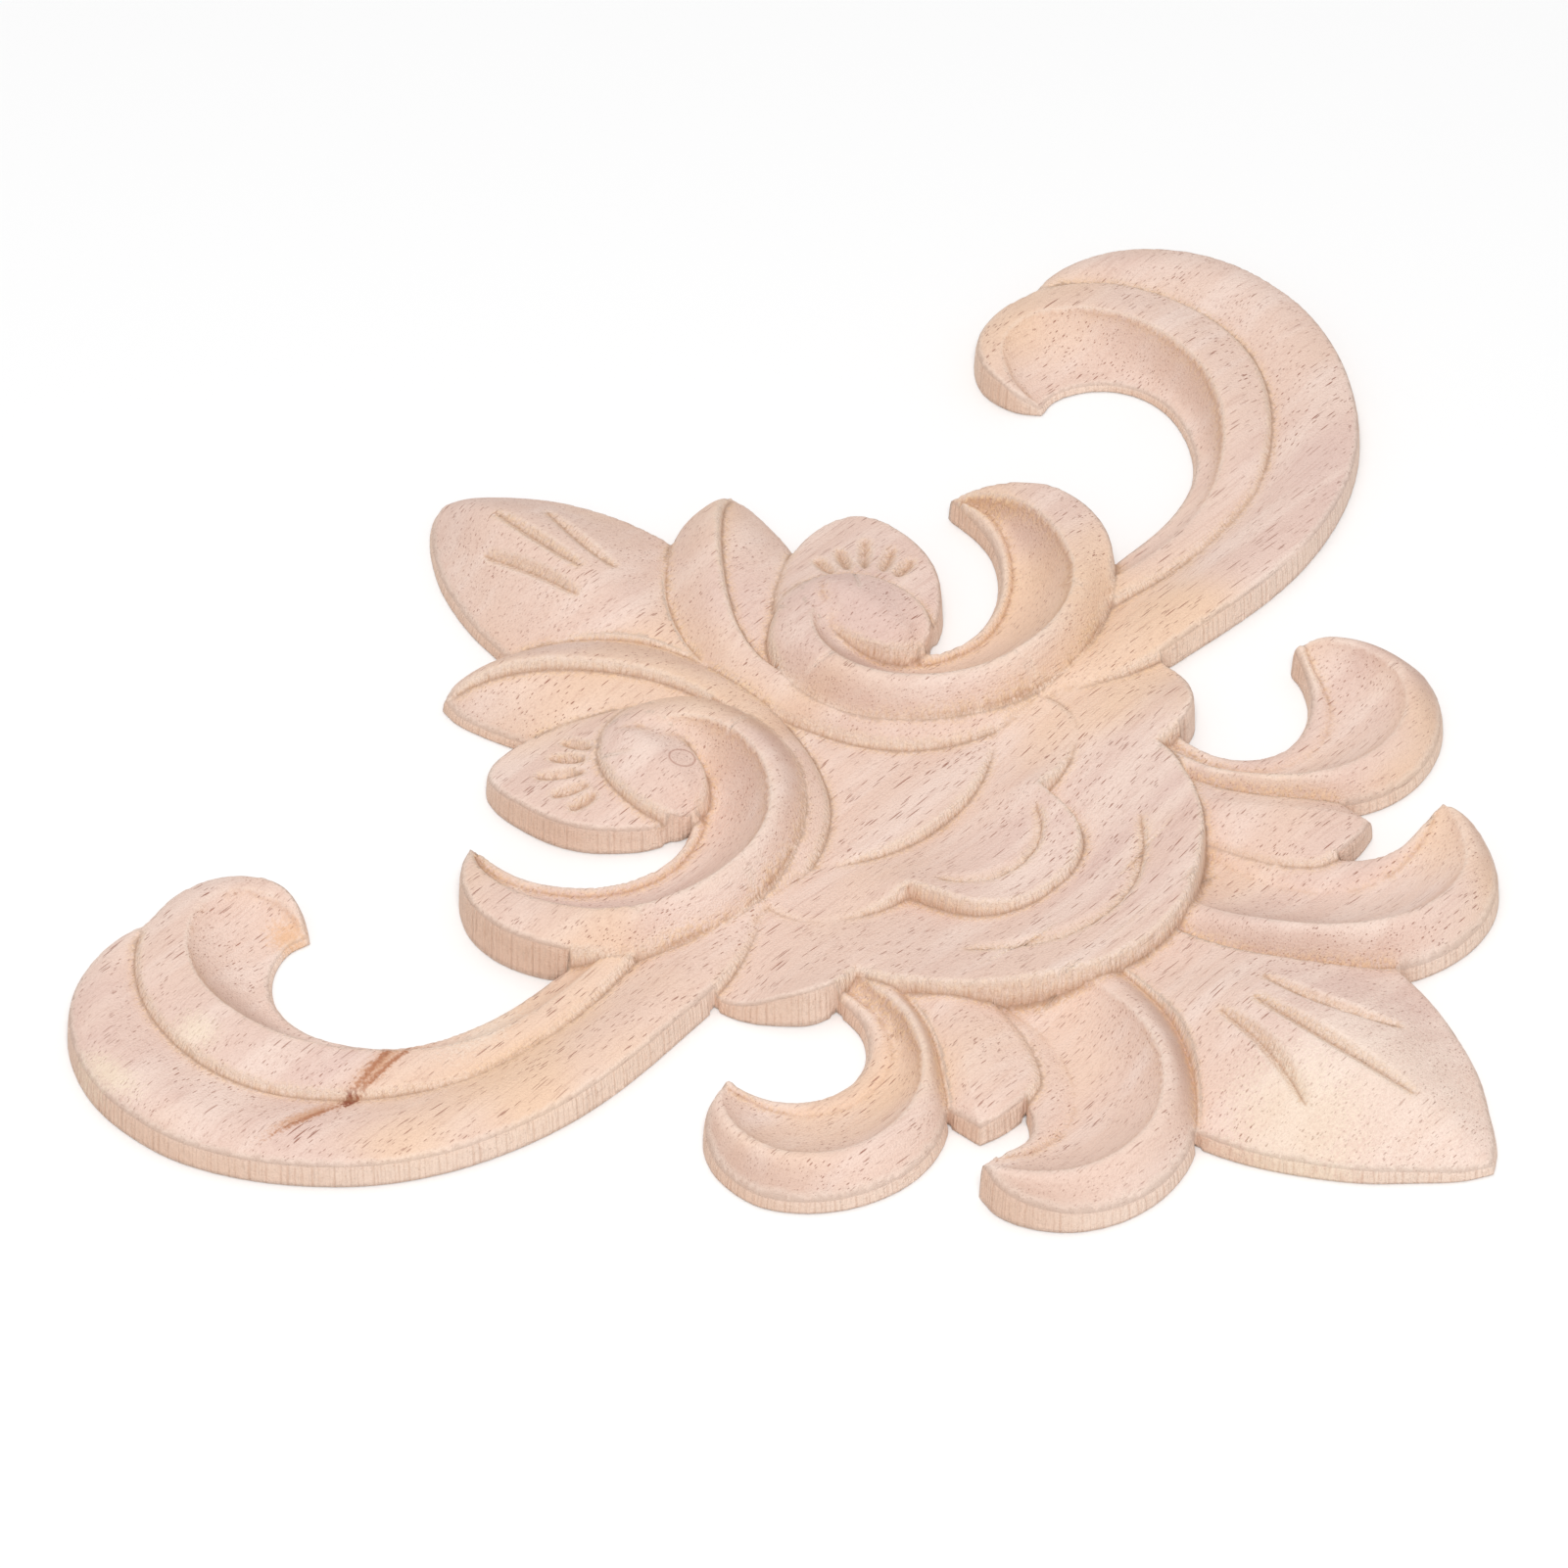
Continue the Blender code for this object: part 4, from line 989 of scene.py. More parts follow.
@dataclass(frozen=True)
class CrestLeaves:
    """The crest leaf and the leaves beside it.

    Attributes:
        vein: the section of a vein.
    """

    vein: Gouge = Gouge(1.5, 1.5, 1.5)

    def forms(self) -> list[Form]:
        """All of its forms, from the bottom up."""
        return [self.crest_leaf(), self.side_leaf_under(), self.side_leaf_over()]

    def crest_leaf(self) -> Form:
        """The pointed leaf on top, domed, with veins.

        Returns:
            The leaf's form.
        """
        edge = smooth([(0, 55, 3.6), (6, 62, 3.4), (12, 70, 3), (17.5, 78, 2.6), (20.2, 86, 2.3),
                       (19.8, 91, 2.4), (18.8, 96.2, 2.5), (17, 102, 2.5), (14.4, 108, 2.4),
                       (11, 113.4, 2.2), (7.2, 118, 2), (3.6, 121, 2), (0, 122.4, 2)])
        spine = smooth([(0, 55, 3.6), (0, 64, 5), (0, 75, 7.4), (0, 87, 9), (0, 98.5, 9.5),
                        (0, 109.5, 8.6), (0, 117, 5.6), (0, 122.4, 2)])
        veins = [Groove(((0, 88), (0, 98), (0, 109.5)), self.vein),
                 Groove(((4.7, 84), (5.4, 92.5), (7.9, 104.5)), self.vein)]
        return Form([edge, spine], [Profile.SWELLING], grooves=veins)

    def side_leaf_under(self) -> Form:
        """The outer half of the leaf beside the crest.

        Returns:
            The form of that half.
        """
        midrib = smooth([(6, 42, 4.4), (6.3, 49.5, 4.7), (7.4, 55, 5.1), (9.6, 60.4, 5.8),
                         (13, 65.6, 6.6), (17.6, 71.3, 7.1), (22.4, 76.3, 7), (27, 80.5, 6.2),
                         (32, 84.2, 4.4), (36, 86.2, 2.4)])
        outer = smooth([(14, 40, 5), (20, 50, 5), (27, 59, 4), (32, 66, 2.6), (34.2, 71, 2),
                        (35.8, 77, 2), (36.6, 82.5, 2.2), (36, 86.2, 2.6)])
        return Form([midrib, outer], [Profile.SWELLING_DOWN])

    def side_leaf_over(self) -> Form:
        """Its inner half, which runs on as the stem round the dish.

        Returns:
            The form of that half.
        """
        upper = smooth([(36, 86.2, 2.6), (33, 87.7, 2.5), (28.5, 88, 2.4), (24, 87, 2.8),
                        (20, 84.9, 3.6), (15.7, 81.9, 4.4), (11.5, 78.6, 4.7), (7.4, 74.5, 4.7),
                        (3.6, 69, 4.6), (1.2, 63.1, 4.2), (0, 57, 4.2), (0, 50, 4.8),
                        (0, 43, 4.2), (1.4, 37.3, 3.9), (3.3, 31.2, 3.9), (6.6, 24.6, 3.8),
                        (10.7, 19.4, 3.6), (15.2, 15.9, 3.4), (20, 13.3, 3.3), (26, 11.6, 3.3),
                        (34.7, 11.2, 3.6)])
        midrib = smooth([(36, 86.2, 2.6), (32, 84.2, 5.8), (27, 80.5, 8.5), (22.4, 76.3, 9.5),
                         (17.6, 71.3, 9.4), (13, 65.6, 8.9), (9.6, 60.4, 7.9), (7.4, 55, 7),
                         (6.4, 49.5, 6.4), (7, 42, 6.3), (8.2, 35, 6.3), (11.6, 28, 6.2),
                         (17, 22.4, 6.2), (23, 18.6, 5.8), (29, 16.4, 5.2), (36, 15, 4.6)])
        return Form([upper, midrib], [Profile.SWELLING])


@dataclass(frozen=True)
class Wing:
    """The long wing with its curled end.

    Attributes:
        dip: how far the outer band dips beside the inner one, in millimetres.
    """

    dip: float = 0.5

    def forms(self) -> list[Form]:
        """All of its forms, from the bottom up."""
        return [self.outer_band(), self.inner_band()]

    def outer_band(self) -> Form:
        """The wing's outer band, out to the edge.

        Returns:
            The band's form.
        """
        foot = smooth([(34.8, 17, 2.2), (48, 19, 2.2), (63, 19.5, 2.2), (76, 18.6, 2),
                       (90, 20, 2), (100, 22.6, 2.1), (110, 28, 2.5), (116.5, 34.5, 2.9),
                       (121.5, 43, 3.5), (123.4, 52, 4), (122, 62, 4.4), (117, 72, 4.8),
                       (110.1, 81.6, 5.4)])
        crown = smooth([(34.8, 13.2, 3.5), (48, 10.4, 5), (62, 8, 6.3), (76, 7.4, 6.5),
                        (90, 8.4, 6.3), (103, 12.4, 6), (114, 18.6, 5.8), (123.4, 26, 5.9),
                        (131, 36, 6.3), (136, 48, 6.8), (136, 60, 7), (131, 71, 7),
                        (123, 77.6, 6.8), (110.1, 81.6, 6)])
        edge = smooth([(34.8, 11, 3.4), (38.2, 9.6, 3.4), (43, 7, 4), (48.5, 4.6, 4.5),
                       (56.5, 2.7, 5), (65, 1.9, 5.4), (75, 1.2, 5.6), (84, 1.1, 5.6),
                       (94, 2.1, 5.4), (105, 4.9, 5.1), (115, 9.2, 4.8), (124, 15.2, 4.8),
                       (131.8, 23.2, 4.8), (138.2, 32.6, 4.9), (142.5, 43, 5), (143.7, 52.5, 5.2),
                       (143, 61, 5.3), (140.2, 68.8, 5.4), (136, 75, 5.3), (130.4, 79.6, 5.4),
                       (124, 82.2, 5.5), (117.5, 83, 5.6), (110.1, 81.6, 6)])
        return Form([foot, crown, edge], [Profile.SWELLING, Profile.SWELLING_DOWN],
                    [-self.dip, 0.2])

    def inner_band(self) -> Form:
        """The wing's inner band, with the curled end and the hollow inside it.

        Returns:
            The band's form.
        """
        outer = smooth([(56, 18.6, 5.2), (63, 17.2, 5), (70, 16.1, 4.7), (77, 15.7, 4.3),
                        (85, 16, 4.1), (92, 17, 4.1), (98, 18.4, 4.2), (104.5, 21.2, 4.6),
                        (111.5, 25.6, 5.1), (118.4, 31.8, 5.7), (124, 39.4, 6.2),
                        (126.9, 48, 6.6), (127.3, 57.4, 6.8), (125, 67, 7), (120.9, 74, 7.1),
                        (116, 78.6, 7), (110.1, 81.8, 6.5), (104.6, 83, 6.2), (99.6, 82.6, 6),
                        (95.2, 80.8, 5.9), (91.8, 77.6, 6), (89.9, 74.2, 6.1), (89.4, 70.6, 5.8),
                        (90.2, 66.4, 3.8), (92.4, 63, 1.6)])
        rim = smooth([(56, 21.6, 5.4), (66, 20.6, 5.3), (76, 20.2, 5), (86, 21.2, 5),
                      (94.5, 23.8, 5.3), (101.5, 27.8, 6), (107.5, 32.8, 6.9), (112.6, 39, 7.7),
                      (115.8, 46, 8.1), (117.2, 53.5, 8.3), (116.9, 61, 8.3), (114.8, 67.4, 8.2),
                      (110.6, 73, 8.1), (105, 76.6, 8), (99.4, 77, 7.6), (94.8, 74.8, 6.9),
                      (92.2, 71, 5.6), (91.6, 67, 3.8), (92.4, 63, 1.6)])
        edge = smooth([(56, 24.6, 3.2), (73, 24.8, 3.2), (80, 24.9, 3.3), (87, 26, 3.2),
                       (94.7, 28.9, 2.7), (99.8, 32.4, 2.2), (103.6, 36.6, 1.9),
                       (106.6, 41.6, 1.8), (108.4, 47, 1.7), (108.4, 52.4, 1.6),
                       (106.6, 57.2, 1.6), (103.3, 60.9, 1.5), (99.6, 63, 1.5), (96, 63.8, 1.5),
                       (92.4, 63, 1.6)])
        return Form([outer, rim, edge], [Profile.SWELLING, Profile.HOLLOW_DOWN], [0.2, 0])


@dataclass(frozen=True)
class ShellScroll:
    """The petal, the great scroll and its eye.

    Attributes:
        flute: the section of a flute.
        eye_middle: where the flutes fan out from.
    """

    flute: Gouge = Gouge(1.4, 1.4, 1.6)
    eye_middle: tuple[float, float] = (27.5, 46.3)

    def forms(self) -> list[Form]:
        """All of its forms, from the bottom up."""
        return [self.shell_petal(), self.great_scroll(), self.eye()]

    def shell_petal(self) -> Form:
        """The round petal behind the scroll.

        Returns:
            The petal's form.
        """
        outer = smooth([(17, 57.6, 7), (21, 60.6, 6.4), (25.4, 63.4, 5.4), (29.5, 66, 4.4),
                        (33.5, 67.8, 4), (38.4, 68.6, 3.9), (43, 68, 4), (46.2, 65.6, 4.6),
                        (47.7, 61.6, 5.3), (47.8, 56.5, 5.8), (47.2, 51.6, 5.9), (46, 47.6, 5.8),
                        (44, 43.9, 5.7), (41, 40.5, 5.5), (37.6, 37.5, 5.2), (33.6, 35.6, 4.6),
                        (29.2, 34.8, 3.6), (26, 36.6, 3.2), (24, 40, 3.4)])
        heart = smooth([(17, 54, 6.6), (21, 51.6, 6.4), (25, 49.5, 6), (27, 46.4, 5.4),
                        (26.4, 43, 4.6), (24, 41, 3.8)])
        return Form([outer, heart], [Profile.SWELLING], [1.5], self.flutes())

    def great_scroll(self) -> Form:
        """The scroll with its horn, ridge and inner bead.

        Returns:
            The scroll's form.
        """
        outer = smooth([(31.5, 52.6, 8.2), (29, 55.4, 8.2), (25.5, 57.3, 8.1), (21, 57.8, 8),
                        (16.4, 56.6, 8), (12.2, 54.2, 7.9), (8.9, 51, 7.6), (6.8, 46.5, 7.1),
                        (5.9, 41, 6.7), (6.3, 35.4, 6.5), (8, 30.2, 6.4), (11, 25.4, 6.4),
                        (15.6, 20.6, 6.4), (21.4, 16.7, 6), (28, 13.9, 5.2), (36, 12.4, 4.8),
                        (44, 12.3, 4.6), (50.4, 13.7, 4.7), (56.4, 16.1, 5), (61, 18.7, 5.7),
                        (65, 21.6, 6.8), (68.8, 25.2, 7.8), (71.7, 30.2, 8.4), (73.3, 37, 8.5),
                        (72.5, 43.6, 8.4), (69.5, 49, 7.6), (65.3, 53, 6.4), (60.6, 55.8, 4.9)])
        ridge = smooth([(29, 50.4, 8.8), (25.5, 53, 9.4), (21.2, 52.4, 9.9), (17.4, 49.4, 10.2),
                        (14.5, 45.6, 10.4), (13.2, 41.4, 10.5), (13.1, 37, 10.5),
                        (14.8, 31.2, 10.5), (18.2, 26, 10.6), (23.7, 21, 10.8), (31, 17.9, 10.9),
                        (39.5, 17.1, 10.9), (47.2, 18.4, 10.5), (54, 21.4, 10), (59.3, 26, 9.6),
                        (63, 31.8, 9.3), (65.4, 38.6, 8.9), (65.8, 44.6, 8.3), (64.4, 50, 7.2),
                        (60.6, 55.8, 4.9)])
        quirk = smooth([(27, 48.6, 9), (21.6, 49, 9.4), (20, 45.4, 7.8), (20.6, 41, 5.4),
                        (22.4, 37.2, 3.6), (25.2, 34, 2.4), (28.8, 31.6, 1.7), (33, 30, 1.4),
                        (38.6, 29.1, 1.2), (44, 29.9, 1.2), (49, 31.9, 1.4), (54.2, 35.4, 2),
                        (58.2, 39.6, 2.8), (61, 44.2, 3.5), (62.3, 49.2, 4.2), (60.6, 55.8, 4.9)])
        inner = smooth([(27, 46, 7.6), (25, 41, 5), (26.4, 37, 3.4), (28.6, 34.4, 2.6),
                        (31.8, 32.3, 2.2), (36, 31.2, 2), (41, 31.2, 2), (46, 32.6, 2),
                        (51, 35.4, 2.2), (55.2, 39.3, 2.6), (58.2, 43.8, 3), (59.8, 48.8, 3.6),
                        (60.6, 55.8, 4.9)])
        return Form([outer, ridge, quirk, inner], SCROLL, [0.3, 0, 0.9])

    def eye(self) -> Form:
        """The round eye in the scroll.

        Returns:
            The eye's form.
        """
        left = smooth([(28.5, 33.6, 5), (25, 34.6, 6.6), (22.2, 37, 7.6), (20.4, 40.6, 8.2),
                       (19.5, 45, 8.4), (19.2, 49.6, 8), (20.4, 53.4, 7.6), (23.4, 56, 7.4),
                       (27, 56.3, 7.6)])
        crown = smooth([(28.5, 33.6, 5), (27.5, 36.6, 8.4), (26.8, 41, 10), (26.4, 45.6, 10.6),
                        (26, 50, 10.6), (26.2, 53.6, 9.9), (27, 56.3, 7.6)])
        right = smooth([(28.5, 33.6, 5), (32, 34.6, 6.6), (34.2, 37.8, 7.8), (34.9, 41.8, 8.3),
                        (34.5, 46.2, 8.5), (33.2, 50.4, 8.5), (30.6, 54, 8.2), (27, 56.3, 7.6)])
        return Form([left, crown, right], [Profile.SWELLING, Profile.SWELLING_DOWN], emerges=True)

    def flutes(self) -> list[Groove]:
        """Five short flutes that fan out round the eye.

        Returns:
            The gouge cuts, from the petal's top round to its side.
        """
        fan = []
        for turn, far in ((74, 16.4), (58, 17), (42, 19), (25, 17.4), (10, 16.2)):
            ray = np.array([math.cos(math.radians(turn)), math.sin(math.radians(turn))])
            reach = (10.2, (10.2 + far) / 2, far)
            knots = tuple(tuple(self.eye_middle + ray * r) for r in reach)
            fan.append(Groove(knots, self.flute))
        return fan


class Signal:
    """A socket that carries a value, with arithmetic for numbers."""

    def __init__(self, graph: "Graph", socket: bpy.types.NodeSocket) -> None:
        """Wraps a socket.

        Args:
            graph: the tree it is in.
            socket: the socket.
        """
        self.graph = graph
        self.socket = socket

    def __add__(self, other: "Signal | float") -> "Signal":
        """Sum."""
        return self.graph.maths("ADD", self, other)

    __radd__ = __add__

    def __sub__(self, other: "Signal | float") -> "Signal":
        """Difference."""
        return self.graph.maths("SUBTRACT", self, other)

    def __rsub__(self, other: "Signal | float") -> "Signal":
        """Difference, with a plain number first."""
        return self.graph.maths("SUBTRACT", other, self)

    def __mul__(self, other: "Signal | float") -> "Signal":
        """Product."""
        return self.graph.maths("MULTIPLY", self, other)

    __rmul__ = __mul__

    def __truediv__(self, other: "Signal | float") -> "Signal":
        """Quotient."""
        return self.graph.maths("DIVIDE", self, other)

    def band(self, low: float, high: float) -> "Signal":
        """Rises smoothly from 0 at low to 1 at high, or falls if high is the lower.

        Args:
            low: the value that gives 0.
            high: the value that gives 1.

        Returns:
            The share, from 0 to 1.
        """
        if low < high:
            return self.graph.node("ShaderNodeMapRange", {"interpolation_type": "SMOOTHSTEP"},
                                   {"Value": self, 1: low, 2: high}).out("Result")
        return 1 - self.band(high, low)


class Placed:
    """A node in a tree."""

    def __init__(self, graph: "Graph", node: bpy.types.Node) -> None:
        """Wraps a node.

        Args:
            graph: the tree it is in.
            node: the node.
        """
        self.graph = graph
        self.node = node

    def out(self, name: str | int) -> Signal:
        """An output as a signal.

        Args:
            name: the socket's name or number.

        Returns:
            The signal.
        """
        return Signal(self.graph, self.node.outputs[name])


class Graph:
    """Builds shader trees and Geometry Nodes trees."""

    def __init__(self, tree: bpy.types.NodeTree) -> None:
        """Wraps a tree.

        Args:
            tree: the tree to build in.
        """
        self.tree = tree

    def node(self, kind: str, settings: dict[str, object] | None = None,
             inputs: dict[str | int, object] | None = None) -> Placed:
        """Adds a node.

        Args:
            kind: the node's type.
            settings: its properties, set before its sockets.
            inputs: a value or a link for each socket, by name or number.

        Returns:
            The node.
        """
        node = self.tree.nodes.new(kind)
        for name, value in (settings or {}).items():
            setattr(node, name, value)
        for name, value in (inputs or {}).items():
            if isinstance(value, Signal):
                self.tree.links.new(value.socket, node.inputs[name])
            else:
                node.inputs[name].default_value = value
        return Placed(self, node)

    def maths(self, operation: str, *values: Signal | float) -> Signal:
        """Adds a Math node.

        Args:
            operation: its operation.
            values: its values or links.

        Returns:
            The result.
        """
        return self.node("ShaderNodeMath", {"operation": operation},
                         dict(enumerate(values))).out(0)

    def vector(self, operation: str, *values: object) -> Signal:
        """Adds a Vector Math node.

        Args:
            operation: its operation.
            values: its vectors or links.

        Returns:
            The resulting vector.
        """
        return self.node("ShaderNodeVectorMath", {"operation": operation},
                         dict(enumerate(values))).out(0)

    def mix(self, share: Signal | float, first: object, second: object) -> Signal:
        """Mixes two colours.

        Args:
            share: how much of the second.
            first: a colour or a link.
            second: a colour or a link.

        Returns:
            The mixed colour.
        """
        return self.node("ShaderNodeMix", {"data_type": "RGBA"},
                         {0: share, 6: first, 7: second}).out(2)

    def noise(self, place: Signal, scale: float, detail: float = 2.0) -> Signal:
        """Adds a noise texture.

        Args:
            place: where it is read.
            scale: its scale, per unit of place.
            detail: its detail.

        Returns:
            The noise, around 0.5.
        """
        return self.node("ShaderNodeTexNoise", None,
                         {"Vector": place, "Scale": scale, "Detail": detail}).out(0)


def tone(red: int, green: int, blue: int) -> tuple[float, float, float, float]:
    """A display colour as the linear values that a shader takes.

    Args:
        red: red, 0 to 255.
        green: green, 0 to 255.
        blue: blue, 0 to 255.

    Returns:
        Red, green, blue and alpha, each from 0 to 1.
    """
    # The display curve is straight near black and a power above it
    shares = (red / 255, green / 255, blue / 255)
    linear = [s / 12.92 if s <= 0.04045 else ((s + 0.055) / 1.055) ** 2.4 for s in shares]
    return (*linear, 1.0)


@dataclass(frozen=True)
class Pores:
    """One size of open pore, as slim rods in the wood that run along X.

    Attributes:
        pitch: spacing across the grain, in millimetres.
        length: spacing along the grain, in millimetres.
        radius: radius in shares of the pitch.
        kept: share of the rods that show.
        offset: shifts the pattern, so that no two sizes line up.
    """

    pitch: float
    length: float
    radius: float
    kept: float
    offset: float

    def mask(self, graph: Graph, place: Signal) -> Signal:
        """Where the pores are.

        Args:
            graph: the shader tree.
            place: place in the wood, in millimetres.

        Returns:
            1 inside a pore and 0 in plain wood.
        """
        scale = (1 / self.length, 1 / self.pitch, 1 / self.pitch)
        stretched = graph.vector("MULTIPLY", place, scale)
        moved = graph.vector("ADD", stretched, (self.offset, self.offset * 2, self.offset * 3))
        cells = graph.node("ShaderNodeTexVoronoi", {"feature": "F1", "distance": "EUCLIDEAN"},
                           {"Vector": moved, "Scale": 1.0})
        chance = graph.node("ShaderNodeSeparateColor", None, {0: cells.out("Color")}).out(0)
        core = cells.out("Distance").band(self.radius, self.radius * 0.55)
        return core * chance.band(1 - self.kept - 0.12, 1 - self.kept + 0.12)


@dataclass(frozen=True)
class Stain:
    """A place where the wood has another colour.

    Attributes:
        middle: its middle (x, y), in millimetres.
        reach: half its length and half its width.
        colour: its display colour.
        strength: how much it covers, from 0 to 1.
        edge: the share of its reach over which it fades.
        turn: angle of its length from +X, in degrees.
    """

    middle: tuple[float, float]
    reach: tuple[float, float]
    colour: tuple[int, int, int]
    strength: float
    edge: float = 0.7
    turn: float = 0.0

    def over(self, graph: Graph, place: Signal, colour: Signal, rough: Signal) -> Signal:
        """Lays the stain over a colour.

        Args:
            graph: the shader tree.
            place: place in millimetres.
            colour: the wood's colour.
            rough: a noise around 0 that frays its edge.

        Returns:
            The colour with the stain.
        """
        turned = graph.node("ShaderNodeVectorRotate", {"rotation_type": "Z_AXIS"},
                            {"Vector": place, "Center": (*self.middle, 0.0),
                             "Angle": math.radians(-self.turn)}).out(0)
        offset = graph.vector("SUBTRACT", turned, (*self.middle, 0.0))
        flat = graph.vector("MULTIPLY", offset, (1 / self.reach[0], 1 / self.reach[1], 0.0))
        spread = graph.node("ShaderNodeVectorMath", {"operation": "LENGTH"},
                            {0: flat}).out("Value") + rough
        share = spread.band(1.0, 1.0 - self.edge) * self.strength
        return graph.mix(share, colour, tone(*self.colour))


@dataclass(frozen=True)
class Rubberwood:
    """Raw pale wood, machine carved, with its grain along X.

    Attributes:
        pale: the main colour.
        creamy: the lighter bands.
        warm: the yellowish places.
        mauve: the greyish pink places.
        pore: colour in a pore that runs along the face.
        cut: colour of the cut walls along the grain.
        cut_end: colour of the cut walls across the grain.
        end: colour of carved faces across the grain.
        crease_shade: colour of the shade painted into the creases and furrows.
        edge_highlight: colour of the highlight painted along the sharp edges.
        torn: colour of the torn grain beside the creases.
        roughness: roughness of a carved face.
        wall_roughness: how much rougher a cut wall is.
        relief: height of the fine relief, in metres.
        relief_strength: how strongly it shades.
        refraction: index of refraction.
        gloss: specular level.
    """

    pale: tuple[int, int, int] = (236, 206, 190)
    creamy: tuple[int, int, int] = (242, 217, 204)
    warm: tuple[int, int, int] = (242, 206, 175)
    mauve: tuple[int, int, int] = (228, 198, 187)
    pore: tuple[int, int, int] = (166, 108, 90)
    cut: tuple[int, int, int] = (246, 222, 204)
    cut_end: tuple[int, int, int] = (233, 200, 177)
    end: tuple[int, int, int] = (192, 154, 134)
    crease_shade: tuple[int, int, int] = (186, 136, 102)
    edge_highlight: tuple[int, int, int] = (246, 228, 213)
    torn: tuple[int, int, int] = (243, 205, 164)
    roughness: float = 0.62
    wall_roughness: float = 0.2
    relief: float = 0.0004
    relief_strength: float = 0.55
    refraction: float = 1.42
    gloss: float = 0.35

    def material(self) -> bpy.types.Material:
        """Builds the material.

        Returns:
            The material.
        """
        material = bpy.data.materials.new("raw rubberwood")
        material.use_nodes = True
        tree = material.node_tree
        shader = tree.nodes["Principled BSDF"]
        graph = Graph(tree)
        place = graph.vector("MULTIPLY", graph.node("ShaderNodeTexCoord").out("Object"),
                             (1 / MM, 1 / MM, 1 / MM))
        wavy = self.bent(graph, place)
        colour, height = self.grain(graph, place, wavy)
        wall, fold, fuzz, along = (
            graph.node("ShaderNodeAttribute", {"attribute_name": name}).out("Fac")
            for name in ("wall", "fold", "fuzz", "along"))
        tilt = graph.node("ShaderNodeSeparateXYZ", None,
                          {0: graph.node("ShaderNodeNewGeometry").out("Normal")})
        end_grain = graph.maths("ABSOLUTE", tilt.out("X"))
        colour = graph.mix(end_grain.band(0.25, 0.8) * 0.5, colour, tone(*self.end))
        colour, height = self.open_pores(graph, wavy, colour, height, end_grain)
        torn = graph.noise(graph.vector("MULTIPLY", place, (1.9, 1.9, 0.5)), 1.0, 4.0)
        ragged = fuzz * torn.band(0.36, 0.6)
        colour = graph.mix(ragged * 0.7, colour, tone(*self.torn))
        height = height + ragged * torn * 1.5
        colour, height = self.rough_walls(graph, (wall, along, end_grain, torn), colour, height)
        colour = self.growth(graph, place, colour, torn - 0.5)
        # Painted shade: the creases, where the surface folds inward, are darkened and frayed by
        # the torn noise
        crease_shade = graph.maths("MAXIMUM", fold, 0.0) * (0.2 + torn * 0.7)
        colour = graph.mix(crease_shade, colour, tone(*self.crease_shade))
        # Painted highlight: the sharp edges, where the surface folds outward, are lightened
        colour = graph.mix(graph.maths("MAXIMUM", fold * -0.4, 0.0), colour, tone(*self.edge_highlight))
        nap = graph.noise(graph.vector("MULTIPLY", place, (2.4, 3.2, 3.2)), 1.0, 2.0)
        colour = graph.mix(nap.band(0.5, 0.66) * 0.13, colour, tone(*self.end))
        height = height + nap * 1.3
        bump = graph.node("ShaderNodeBump", None,
                          {"Strength": self.relief_strength, "Distance": self.relief,
                           "Height": height})
        tree.links.new(colour.socket, shader.inputs["Base Color"])
        tree.links.new(bump.out("Normal").socket, shader.inputs["Normal"])
        rough = self.roughness + wall * self.wall_roughness
        tree.links.new(rough.socket, shader.inputs["Roughness"])
        shader.inputs["IOR"].default_value = self.refraction
        shader.inputs["Specular IOR Level"].default_value = self.gloss
        return material

    def bent(self, graph: Graph, place: Signal) -> Signal:
        """Place in the wood, bent a little as grain wanders.

        Args:
            graph: the shader tree.
            place: place in millimetres.

        Returns:
            The bent place, in millimetres.
        """
        slow = graph.vector("MULTIPLY", place, (0.012, 0.03, 0.03))
        shift = graph.node("ShaderNodeTexNoise", {"noise_dimensions": "3D"},
                           {"Vector": slow, "Scale": 1.0, "Detail": 1.0}).out("Color")
        centred = graph.vector("SUBTRACT", shift, (0.5, 0.5, 0.5))
        return graph.vector("ADD", place, graph.vector("MULTIPLY", centred, (0.0, 9.0, 9.0)))

    def grain(self, graph: Graph, place: Signal, wavy: Signal) -> tuple[Signal, Signal]:
        """The plain wood: soft clouds of colour, and fine streaks along X.

        Args:
            graph: the shader tree.
            place: place in millimetres.
            wavy: the same, bent with the grain.

        Returns:
            Colour and height.
        """
        # Waves to a millimetre along x, y and z, and a shift that sets one pattern off another
        clouds, bands_run, glows = (0.014, 0.022, 0.03), (0.01, 0.16, 0.16), (0.02, 0.026, 0.03)
        hairs, apart, hair_strength = (0.06, 2.6, 2.6), (7.3, 1.9, 4.1), 0.19
        cloud = graph.noise(graph.vector("MULTIPLY", place, clouds), 1.0)
        colour = graph.mix(cloud.band(0.42, 0.75), tone(*self.pale), tone(*self.mauve))
        bands = graph.noise(graph.vector("MULTIPLY", wavy, bands_run), 1.0, 3.0)
        colour = graph.mix(bands.band(0.42, 0.7), colour, tone(*self.creamy))
        glow = graph.noise(graph.vector("ADD", graph.vector("MULTIPLY", place, glows), apart), 1.0)
        colour = graph.mix(glow.band(0.48, 0.74) * 0.8, colour, tone(*self.warm))
        fine = graph.noise(graph.vector("MULTIPLY", wavy, hairs), 1.0, 3.0)
        darker = graph.mix(hair_strength, colour, tone(*self.pore))
        colour = graph.mix(fine.band(0.5, 0.72), colour, darker)
        return colour, fine * 0.3

